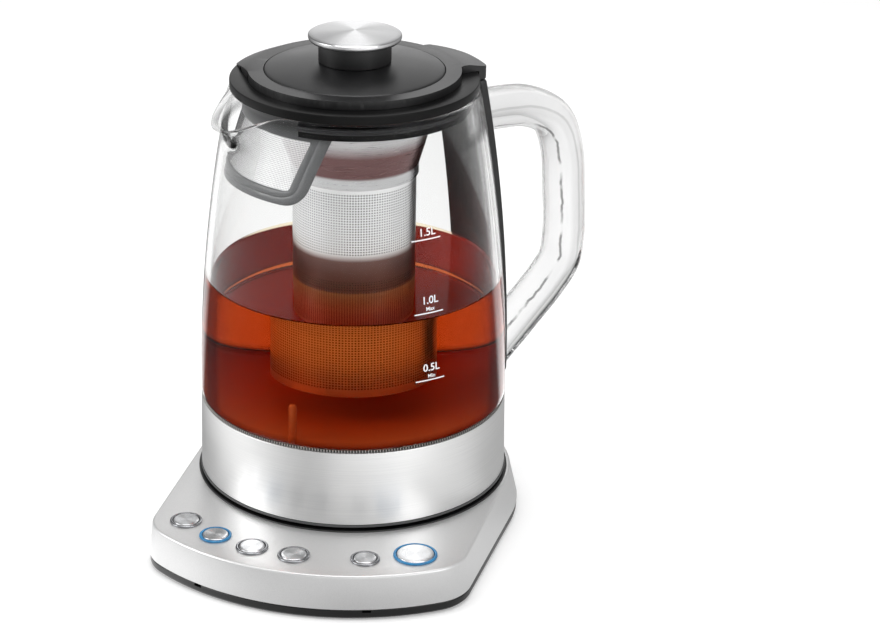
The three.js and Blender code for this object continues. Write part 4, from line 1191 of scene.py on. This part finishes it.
# Collar, cover and spout filter
def spout_wedge(top):
    """The room in front of the spout that the collar's skirt leaves open."""
    near, far, low = 38.3, 114, 199
    c, s = math.cos(SPOUT_HALF), math.sin(SPOUT_HALF)
    plan = [(-near * c, -near * s), (-near * c, near * s), (-far * c, far * s), (-far * c, -far * s)]
    return extruded(plan, low, top)


def collar_ring():
    ledge, seat, skirt = 38.3, 41.8, 53.4
    section = [
        (ledge, 213.9), (ledge, 215.5), (seat, 215.5, 0.2), (seat, COLLAR_TOP, 0.3),
        (COLLAR_R, COLLAR_TOP, 0.7), (COLLAR_R, COLLAR_BOTTOM, 0.5), (skirt, COLLAR_BOTTOM, 0),
        (skirt, SKIRT_BOTTOM), (skirt - 1.8, SKIRT_BOTTOM), (skirt - 1.8, 213.6, 0), (seat, 213.6, 0),
        (seat, 213.9, 0),
    ]
    body = make("collar", *turned(eased(section)), HANDLE_TURN)
    cut(body, spout_wedge(212.2), HANDLE_TURN)
    tidy(body)
    piece(body, "jug", RIM, "black_collar", "collar_ring")
    section = [
        (53.5, 206.55), (54.2, 206.9), (53.9, 207.4), (54.2, 208.05), (53.9, 208.7), (54.2, 209.2),
        (53.5, 209.55),
    ]
    lips = make("collar_lips", *turned(section), HANDLE_TURN)
    cut(lips, spout_wedge(COLLAR_BOTTOM), HANDLE_TURN)
    tidy(lips)
    piece(lips, "jug", SILICONE, "silicone", "collar_seal")


TONGUE_CORNER, TONGUE_CURVE = 4, 16


def front_step():
    """Plan of the low step in front of the cover."""
    root = math.asin((TONGUE_FRONT - TONGUE_CORNER) / COVER_R)
    start, end = math.radians(158), math.radians(134)
    reach = 2 * COLLAR_R
    plan = [(reach * math.cos(root), -reach * math.sin(root))]
    plan += arc(0, 0, COVER_R, -root, start - 2 * math.pi, 90)
    plan += [(COVER_R * math.cos(start), COVER_R * math.sin(start))]
    plan += [(COLLAR_R * math.cos(end), COLLAR_R * math.sin(end))]
    plan += arc(0, 0, reach, end - 2 * math.pi, -root, 40)
    return plan


def inside_circle(radius, y):
    """The point at a height y on a circle about the axis, and its angle."""
    x = math.sqrt(radius ** 2 - y ** 2)
    return x, y, math.atan2(y, x)


def tongue_plan():
    """Plan of the tongue over the spine."""
    small, large = TONGUE_CORNER, TONGUE_CURVE
    root_x, root_y, root = inside_circle(COVER_R + small, TONGUE_FRONT + small)
    front_x, front_y, front = inside_circle(TONGUE_R - small, TONGUE_FRONT - small)
    back_x, back_y, back = inside_circle(TONGUE_R - large, TONGUE_BACK - large)
    plan = [(0, -COVER_IN / 2), (COVER_IN * math.cos(root), -COVER_IN * math.sin(root))]
    plan += arc(root_x, -root_y, small, math.pi - root, math.pi / 2, 8)
    plan += arc(front_x, -front_y, small, -math.pi / 2, -front, 10)
    plan += arc(0, 0, TONGUE_R, -front, back, 24)
    plan += arc(back_x, back_y, large, back, math.pi / 2, 20)
    plan += [(back_x, TONGUE_BACK), (0, TONGUE_BACK)]
    return plan


def collar_cover():
    """A raised ring that slopes down to the rim at the back, with the tongue over the spine."""
    bottom, rim = COLLAR_TOP + 0.1, COLLAR_R - 0.05
    section = [
        (COVER_IN, bottom), (rim, bottom), (rim, bottom + 0.3), (COVER_R, COVER_TOP), (COVER_IN, COVER_TOP),
    ]
    cover = make("cover", *turned(section), HANDLE_TURN)
    cut(cover, extruded(front_step(), bottom - 4, COVER_TOP + 4), HANDLE_TURN)
    tongue = make("tool", *extruded(tongue_plan(), COLLAR_BOTTOM, COVER_TOP - 0.04), HANDLE_TURN)
    fall = math.atan2(2.8, TONGUE_R - COVER_R)
    c, s = math.cos(fall), math.sin(fall)
    length, half, height = 98, 49, 8
    plan = [(0, -half), (length, -half), (length, half), (0, half)]
    verts, faces = extruded(plan, 0, height)
    slab = [(x * c + z * s + COVER_R, y, -x * s + z * c + COVER_TOP) for x, y, z in verts]
    cut(tongue, (slab, faces), HANDLE_TURN)
    under = COLLAR_BOTTOM - 4
    cut(tongue, turned(pin(glass_radius(COLLAR_BOTTOM) + 0.3, under, bottom)), HANDLE_TURN)
    cut(tongue, turned(pin(COVER_IN, under, 230)), HANDLE_TURN)
    carve(cover, tongue, "UNION")
    tidy(cover)
    bevel(cover, 0.7, 40, 40)
    piece(cover, "jug", COLLAR, "black_collar", "collar_cover")


def filter_halves(inset):
    """Half the filter's width at its top and at its bottom."""
    top = FILTER_R * math.sin(math.radians(50))
    return top - inset, FILTER_LOW_R * math.sin(math.radians(37)) - inset


def filter_outline(inset, corner, top_inset):
    """Outline of the filter seen from the spout, as (across, height), with its low corners rounded."""
    top_half, low_half = filter_halves(inset)
    top, low = FILTER_TOP - top_inset, FILTER_BOTTOM + inset
    corners = [(-top_half, top, 0.6), (-low_half, low, corner), (low_half, low, corner), (top_half, top, 0.6)]
    out = []
    for i, (x, z, radius) in enumerate(corners):
        here, before, after = Vector((x, z)), Vector(corners[i - 1][:2]), Vector(corners[(i + 1) % 4][:2])
        a, b = (before - here).normalized(), (after - here).normalized()
        away = radius / math.tan(a.angle(b) / 2)
        out += rounding(here + a * away, here, here + b * away, 8)
    return out


def on_filter(x, z, depth):
    """A point of the filter, a depth in from its outer face."""
    r = FILTER_R - depth
    if z <= FILTER_BEND:
        r += (FILTER_LOW_R - FILTER_R) * (FILTER_BEND - z) / (FILTER_BEND - FILTER_BOTTOM)
    return (-math.sqrt(max(r * r - x * x, 1.0)), x, z)


def even(outline, count):
    """A closed outline as a count of points at even steps, from the point nearest its top middle."""
    step = 0.4
    pts = []
    for i, (x, z) in enumerate(outline):
        nx, nz = outline[(i + 1) % len(outline)]
        parts = max(1, int(math.hypot(nx - x, nz - z) / step))
        pts += [(x + (nx - x) * k / parts, z + (nz - z) * k / parts) for k in range(parts)]
    top = max(range(len(pts)), key=lambda i: pts[i][1] - abs(pts[i][0]))
    pts = pts[top:] + pts[:top]
    lengths = [0.0]
    for i in range(len(pts)):
        lengths.append(lengths[-1] + math.dist(pts[i], pts[(i + 1) % len(pts)]))
    out, at = [], 0
    for k in range(count):
        want = lengths[-1] * k / count
        while lengths[at + 1] < want:
            at += 1
        share = (want - lengths[at]) / max(lengths[at + 1] - lengths[at], 1e-9)
        a, b = pts[at % len(pts)], pts[(at + 1) % len(pts)]
        out.append((a[0] + (b[0] - a[0]) * share, a[1] + (b[1] - a[1]) * share))
    return out


def filter_frame():
    """The rim of the spout filter, a rounded bar with a groove along its face."""
    count, width = 160, 6.4
    outer = even(filter_outline(0.0, 9.0, 0.0), count)
    inner = even(filter_outline(width, 2.2, 12.0), count)
    face = [(0.0, 1.0), (0.04, 0.35), (0.14, 0.05), (0.42, 0.0), (0.5, 0.3), (0.58, 0.0), (0.86, 0.05)]
    back = [(0.96, 0.35), (1.0, 1.0), (0.96, 1.65), (0.86, 1.95), (0.14, 1.95), (0.04, 1.65)]
    shape = face + back
    verts, faces = [], []
    for (ox, oz), (ix, iz) in zip(outer, inner):
        for across, depth in shape:
            verts.append(on_filter(ox + (ix - ox) * across, oz + (iz - oz) * across, depth))
    size = len(shape)
    for i in range(count):
        for k in range(size):
            j, n = (i + 1) % count, (k + 1) % size
            faces.append([i * size + k, i * size + n, j * size + n, j * size + k])
    frame_bar = make("filter_frame", verts, faces, HANDLE_TURN, 50)
    piece(frame_bar, "jug", FILTER, "grey_plastic", "spout_filter_frame")


def filter_mesh():
    """The woven mesh in the filter's frame, a thin curved sheet."""
    rows, columns, inset, top_inset = 24, 36, 5.9, 6.6
    top_half, low_half = filter_halves(inset)
    verts = []
    for depth in (0.8, 1.2):
        for i, z in enumerate(steps_up(FILTER_BOTTOM + inset, FILTER_TOP - top_inset, rows)):
            half = low_half + (top_half - low_half) * i / rows
            verts += [on_filter(x, z, depth) for x in steps_up(-half, half, columns)]
    sheet = make("filter_mesh", verts, sheet_faces(rows, columns), HANDLE_TURN)
    piece(sheet, "jug", MESH, "mesh_steel", "spout_filter_mesh")


# Basket, lid and knob
def basket():
    wall, rim, flange = 0.8, 36.8, 40.6
    inside, neck = TUBE_R + 1.1, TUBE_R + 0.3
    section = [
        (rim, 217.1, 0.3), (flange, 217.1), (flange, 215.8), (rim + wall, 215.8), (rim + wall, 204.3, 1.5),
        (rim - 0.2, 200.3, 2.0), (inside, 176.5, 1.2), (inside, 172.0, 0.2), (neck, 172.0, 0.2),
        (neck, 176.5, 1.2), (rim - 1.0, 200.3, 2.0), (rim, 204.3, 1.5),
    ]
    ring("funnel", section, "basket", (FUNNEL, "polished_steel", "basket_funnel"), 0.35, 4)
    section = hoop(TUBE_R, TUBE_BOTTOM, TUBE_TOP, wall)
    ring("basket_wall", section, "basket", (BASKET, "basket_steel", "basket_tube"), 0.2)
    edge, rise = TUBE_R - 1.1, 1.4
    section = [
        (0, TUBE_BOTTOM + rise, 0), (20, TUBE_BOTTOM + rise), (edge, TUBE_BOTTOM + 1),
        (edge, TUBE_BOTTOM + 1 + wall), (20, TUBE_BOTTOM + 1 + wall), (0, TUBE_BOTTOM + 1 + wall, 0),
    ]
    finish = (POLISHED, "basket_steel", "basket_floor")
    ring("basket_bottom", section, "basket", finish, 0.2, steps=MEDIUM)


def lid():
    """The lid with a low dome round its stem, its seal, and the knob."""
    bore, skirt, under, edge, crown = 2.6, 35.0, 217.4, 40.6, 17.5
    dome = []
    for radius in steps_up(40.0, crown, 14):
        fall = 3.5 * (radius ** 2 - crown ** 2) / (edge ** 2 - crown ** 2)
        dome.append((radius, LID_TOP - fall, 0))
    section = [
        (bore, under, 0), (skirt - 2, under, 0), (skirt - 2, 210.4), (skirt, 210.4), (skirt, under, 0),
        (LID_R, under), (LID_R, 220.5, 0.7), *dome, (bore, LID_TOP, 0),
    ]
    ring("lid", section, "lid", (COLLAR, "black_collar", "lid_disc"))
    section = [(skirt + 0.1, 211.2, 0.1), (skirt + 1.3, 211.8), (skirt + 0.6, 213.0), (skirt + 1.3, 214.2)]
    section += [(skirt + 0.6, 215.4), (skirt + 0.1, 216.2, 0.1)]
    ring("lid_lips", section, "lid", (SILICONE, "silicone", "lid_seal"))
    low, high = LID_TOP + 0.1, 233.9
    section = [(bore, low, 0), (STEM_R, low, 0.4), (STEM_R, high, 0.3), (bore, high, 0)]
    ring("stem", section, "lid", (BLACK, "black_plastic", "knob_stem"), steps=MEDIUM)
    low, rise, count = 234.0, 1.6, 12
    dome = []
    for share in (1 - i / count for i in range(count)):
        dome.append(((KNOB_R - 0.7) * share, KNOB_TOP - rise + rise * (1 - share ** 2), 0))
    section = [
        (0, low, 0), (KNOB_R - 1, low, 0.3), (KNOB_R, low + 1, 0.5), (KNOB_R, low + 2.6, 0.5), *dome,
        (0, KNOB_TOP, 0),
    ]
    ring("knob", section, "lid", (KNOB, "spun_steel", "knob_cap"))


# Tea and level marks
def tea():
    """Tea up to its level, a hair into the glass, with a raised edge where it wets the wall."""
    def wall(z):
        return glass_radius(z) - GLASS_WALL + 0.12

    heights = steps_up(TEA_BOTTOM, TEA_TOP, 24)
    side = [(68.9, TEA_BOTTOM)] + [(wall(z), z) for z in heights[1:]]
    rim = wall(TEA_TOP)
    edge = [(rim - inset, TEA_TOP + rise) for inset, rise in ((0, 1.1), (0.5, 0.5), (1.4, 0.1), (2.6, 0))]
    section = [(0, TEA_BOTTOM)] + side + edge + [(0, TEA_TOP)]
    piece(make("tea", *turned(section), HANDLE_TURN, 50), "jug", TEA)


def on_glass(points, angle, lift):
    """Points of a flat print, as (across, height), wrapped on the glass at an angle of the jug."""
    out = []
    for x, z in points:
        r = glass_radius(z) + lift
        a = angle + x / r
        out.append((r * math.cos(a), r * math.sin(a), z))
    return out


def flat_text(text, size, x, z):
    """Letters as a flat mesh: points as (across, height) in millimetres, and faces."""
    curve = bpy.data.curves.new("letters", "FONT")
    curve.body = text
    curve.size = size
    curve.align_x = "CENTER"
    curve.align_y = "CENTER"
    curve.offset = size * 0.012
    curve.resolution_u = 4
    obj = bpy.data.objects.new("letters", curve)
    bpy.context.scene.collection.objects.link(obj)
    bpy.context.view_layer.update()
    mesh = bpy.data.meshes.new_from_object(obj.evaluated_get(bpy.context.evaluated_depsgraph_get()))
    points = [(v.co.x + x, v.co.y + z) for v in mesh.vertices]
    faces = [list(p.vertices) for p in mesh.polygons]
    bpy.data.objects.remove(obj)
    return points, faces


def level_marks():
    """Lines and figures printed on the glass, each print a thin slab."""
    left, length, half, parts = -7.4, 14.8, 0.28, 12
    figures, words, shift = 5.0, 2.6, 0.6
    bar_faces = [[i, i + 1, i + parts + 2, i + parts + 1] for i in range(parts)]
    prints = []
    for text, word, line in (("1.5L", "", 160.0), ("1.0L", "Max", 126.0), ("0.5L", "Min", 94.0)):
        prints.append(flat_text(text, figures, shift, line + (5.9 if word else 3.2)))
        if word:
            prints.append(flat_text(word, words, shift, line + 1.9))
        bar = [(x, line + h) for h in (-half, half) for x in steps_up(left, left + length, parts)]
        prints.append((bar, bar_faces))
    points, faces = [], []
    for more, more_faces in prints:
        faces += [[v + len(points) for v in face] for face in more_faces]
        points += more
    angle = math.radians(-90.0)
    count = len(points)
    edges = {(a, b) for face in faces for a, b in zip(face, face[1:] + face[:1])}
    skin = faces + [[v + count for v in reversed(face)] for face in faces]
    skin += [[b, a, a + count, b + count] for a, b in sorted(edges) if (b, a) not in edges]
    verts = on_glass(points, angle, 0.08) + on_glass(points, angle, 0.02)
    piece(make("level_marks", verts, skin, HANDLE_TURN), "jug", PRINT)


for build in (
    base_shell, base_plate, feet, buttons, tower, rim_shade_ring,
    glass_jug, jug_bottom, seal_ring, sensor, spine, handle,
    collar_ring, collar_cover, filter_frame, filter_mesh, basket, lid, tea, level_marks,
):
    build()

# Nodes that are seen little keep their solid shape and get a finished material
PLAIN = {"control_board": BOARD, "power_board": BOARD, "knob_screw": SCREW}
PLAIN.update({f"switch_{i}": BLACK for i in range(1, 7)})
PLAIN.update({f"base_screw_{i}": SCREW for i in range(1, 5)})
for name, material in PLAIN.items():
    dress(frame["nodes"][name], material)


# Floor, light and camera
# Brightness of the studio by the angle from the front in degrees: as metal mirrors it, as metal mirrors
# the floor near the object, and as clear glass mirrors it
METAL_STUDIO = [
    (-180, 1.3), (-168, 0.8), (-158, 0.3), (-145, 0.3), (-128, 0.5), (-109, 0.88), (-94, 1.16), (-80, 1.2),
    (-69, 1.04), (-58, 0.86), (-47, 0.74), (-37, 0.64), (-27, 0.57), (-18, 0.69), (-8, 0.93), (2, 1.04),
    (20, 1.2), (33, 1.26), (49, 1.1), (71, 0.96), (97, 0.68), (112, 0.58), (135, 0.5), (150, 0.4),
    (160, 0.3), (170, 0.8), (180, 1.3),
]
NEAR_STUDIO = [
    (-180, 0.5), (-120, 0.4), (-95, 0.5), (-76, 1.0), (-60, 1.8), (-45, 1.65), (-22, 0.85), (0, 0.42),
    (25, 0.55), (52, 0.85), (72, 0.8), (90, 0.55), (120, 0.5), (180, 0.5),
]
GLASS_STUDIO = [
    (-180, 0.5), (-152, 0.3), (-146, 1.3), (-136, 1.2), (-128, 0.1), (-70, 0.08), (-20, 0.05), (0, 0.03),
    (60, 0.05), (105, 0.08), (122, 0.2), (128, 1.8), (143, 1.9), (149, 0.2), (160, 0.1), (180, 0.5),
]
FRONT = math.radians(12.8)
NEAR, FAR = 150.0, 172.0
WHITE = (1, 1, 1, 1)


def studio_round(look, vector, sharp, near=None):
    """The studio in a direction: soft panels left and right, darker in front, and darker in clear glass."""
    x, y, z = look.parts(vector)
    c, s = math.cos(FRONT), math.sin(FRONT)
    ahead = look.minus(look.times(x, s), look.times(y, c))
    aside = look.plus(look.times(x, c), look.times(y, s))
    share = look.ramp(look.angle(ahead, aside), 0, 1, -math.pi, math.pi)

    def panels(table):
        return look.table(share, [((degrees + 180) / 360, (value,) * 3) for degrees, value in table])

    metal = panels(METAL_STUDIO)
    if near:
        metal = look.mix(look.ramp(look.reach(x, y), 1, 0, NEAR, FAR), metal, panels(near))
    return look.mix(sharp, metal, panels(GLASS_STUDIO))


def seen_straight(look):
    """1 where the eye or glass looks at the background, and the flags of a shine and of a sharp one."""
    path = look.add("LightPath").outputs
    straight = look.math("MAXIMUM", path["Is Camera Ray"], path["Is Transmission Ray"])
    return straight, path["Is Glossy Ray"], path["Is Singular Ray"]


class Surround(Look):
    """The nodes of a world."""

    def __init__(self, made):
        made.use_nodes = True
        self.tree = made.node_tree
        self.tree.nodes.clear()


def by_path(look, straight, glossy, plain, shine, background):
    """One shader for light, one for what shines, and one for what is seen straight."""
    first = look.add("MixShader", {0: glossy, 1: plain.outputs[0], 2: shine.outputs[0]})
    return look.add("MixShader", {0: straight, 1: first.outputs[0], 2: background.outputs[0]}).outputs[0]


def world():
    made = bpy.data.worlds.new("studio")
    bpy.context.scene.world = made
    look = Surround(made)
    direction = look.add("TexCoord").outputs["Generated"]
    high = look.ramp(look.parts(direction)[2], 1.0, 0.55, 0.35, 0.9)
    straight, glossy, sharp = seen_straight(look)
    light = look.add("Background", {"Color": WHITE, "Strength": 0.62})
    shine = look.add("Background", {"Color": studio_round(look, direction, sharp), "Strength": high})
    white = look.add("Background", {"Color": WHITE, "Strength": 1.0})
    output = look.add("OutputWorld")
    look.put(output.inputs[0], by_path(look, straight, glossy, light, shine, white))


def floor():
    mesh = bpy.data.meshes.new("floor_plane")
    s = 6.0
    mesh.from_pydata([(-s, -s, 0), (s, -s, 0), (s, s, 0), (-s, s, 0)], [], [(0, 1, 2, 3)])
    obj = bpy.data.objects.new("floor_plane", mesh)
    bpy.context.scene.collection.objects.link(obj)
    look = Look("floor_white")
    look.set(Base_Color=(0.86, 0.86, 0.86, 1), Roughness=0.7, Specular_IOR_Level=0.1)
    glow = look.add("Emission", {"Color": WHITE, "Strength": 0.2})
    both = look.add("AddShader", {0: look.shader.outputs[0], 1: glow.outputs[0]})
    straight, glossy, sharp = seen_straight(look)
    mirrored = studio_round(look, look.place(), sharp, NEAR_STUDIO)
    shine = look.add("Emission", {"Color": mirrored, "Strength": 0.95})
    look.put(look.output.inputs["Surface"], by_path(look, straight, glossy, look.shader, shine, both))
    mesh.materials.append(look.material)


def lamp(name, place, size, power):
    """A soft lamp, in metres and watts, that shines on the object's middle."""
    aim = Vector((0, 0, 0.1))
    data = bpy.data.lights.new(name, "AREA")
    data.shape = "RECTANGLE"
    data.size, data.size_y = size
    data.energy = power
    obj = bpy.data.objects.new(name, data)
    bpy.context.scene.collection.objects.link(obj)
    obj.location = place
    obj.rotation_euler = (aim - Vector(place)).to_track_quat("-Z", "Y").to_euler()


def camera():
    """The photograph's view, with the slight roll that it was taken at."""
    data = bpy.data.cameras.new("camera")
    data.sensor_width = 36.0
    data.sensor_fit = "HORIZONTAL"
    data.lens = 102.066
    data.clip_start, data.clip_end = 0.05, 50
    obj = bpy.data.objects.new("camera", data)
    bpy.context.scene.collection.objects.link(obj)
    place = Vector((0.2720, -1.03514, 0.56672))
    aim = Vector((0.03196, 0.02139, 0.09925))
    turn = (aim - place).to_track_quat("-Z", "Y").to_matrix().to_4x4()
    roll = Matrix.Rotation(math.radians(1.084), 4, "Z")
    obj.matrix_world = Matrix.Translation(place) @ turn @ roll
    bpy.context.scene.camera = obj


world()
floor()
lamp("key", (-1.2, -0.5, 0.9), (0.7, 0.9), 8.5)
lamp("fill", (1.2, -0.7, 0.7), (0.6, 0.9), 4.5)
lamp("top", (0.0, 0.1, 1.4), (1.0, 0.8), 9.0)
camera()
bpy.context.scene.view_settings.view_transform = "Standard"
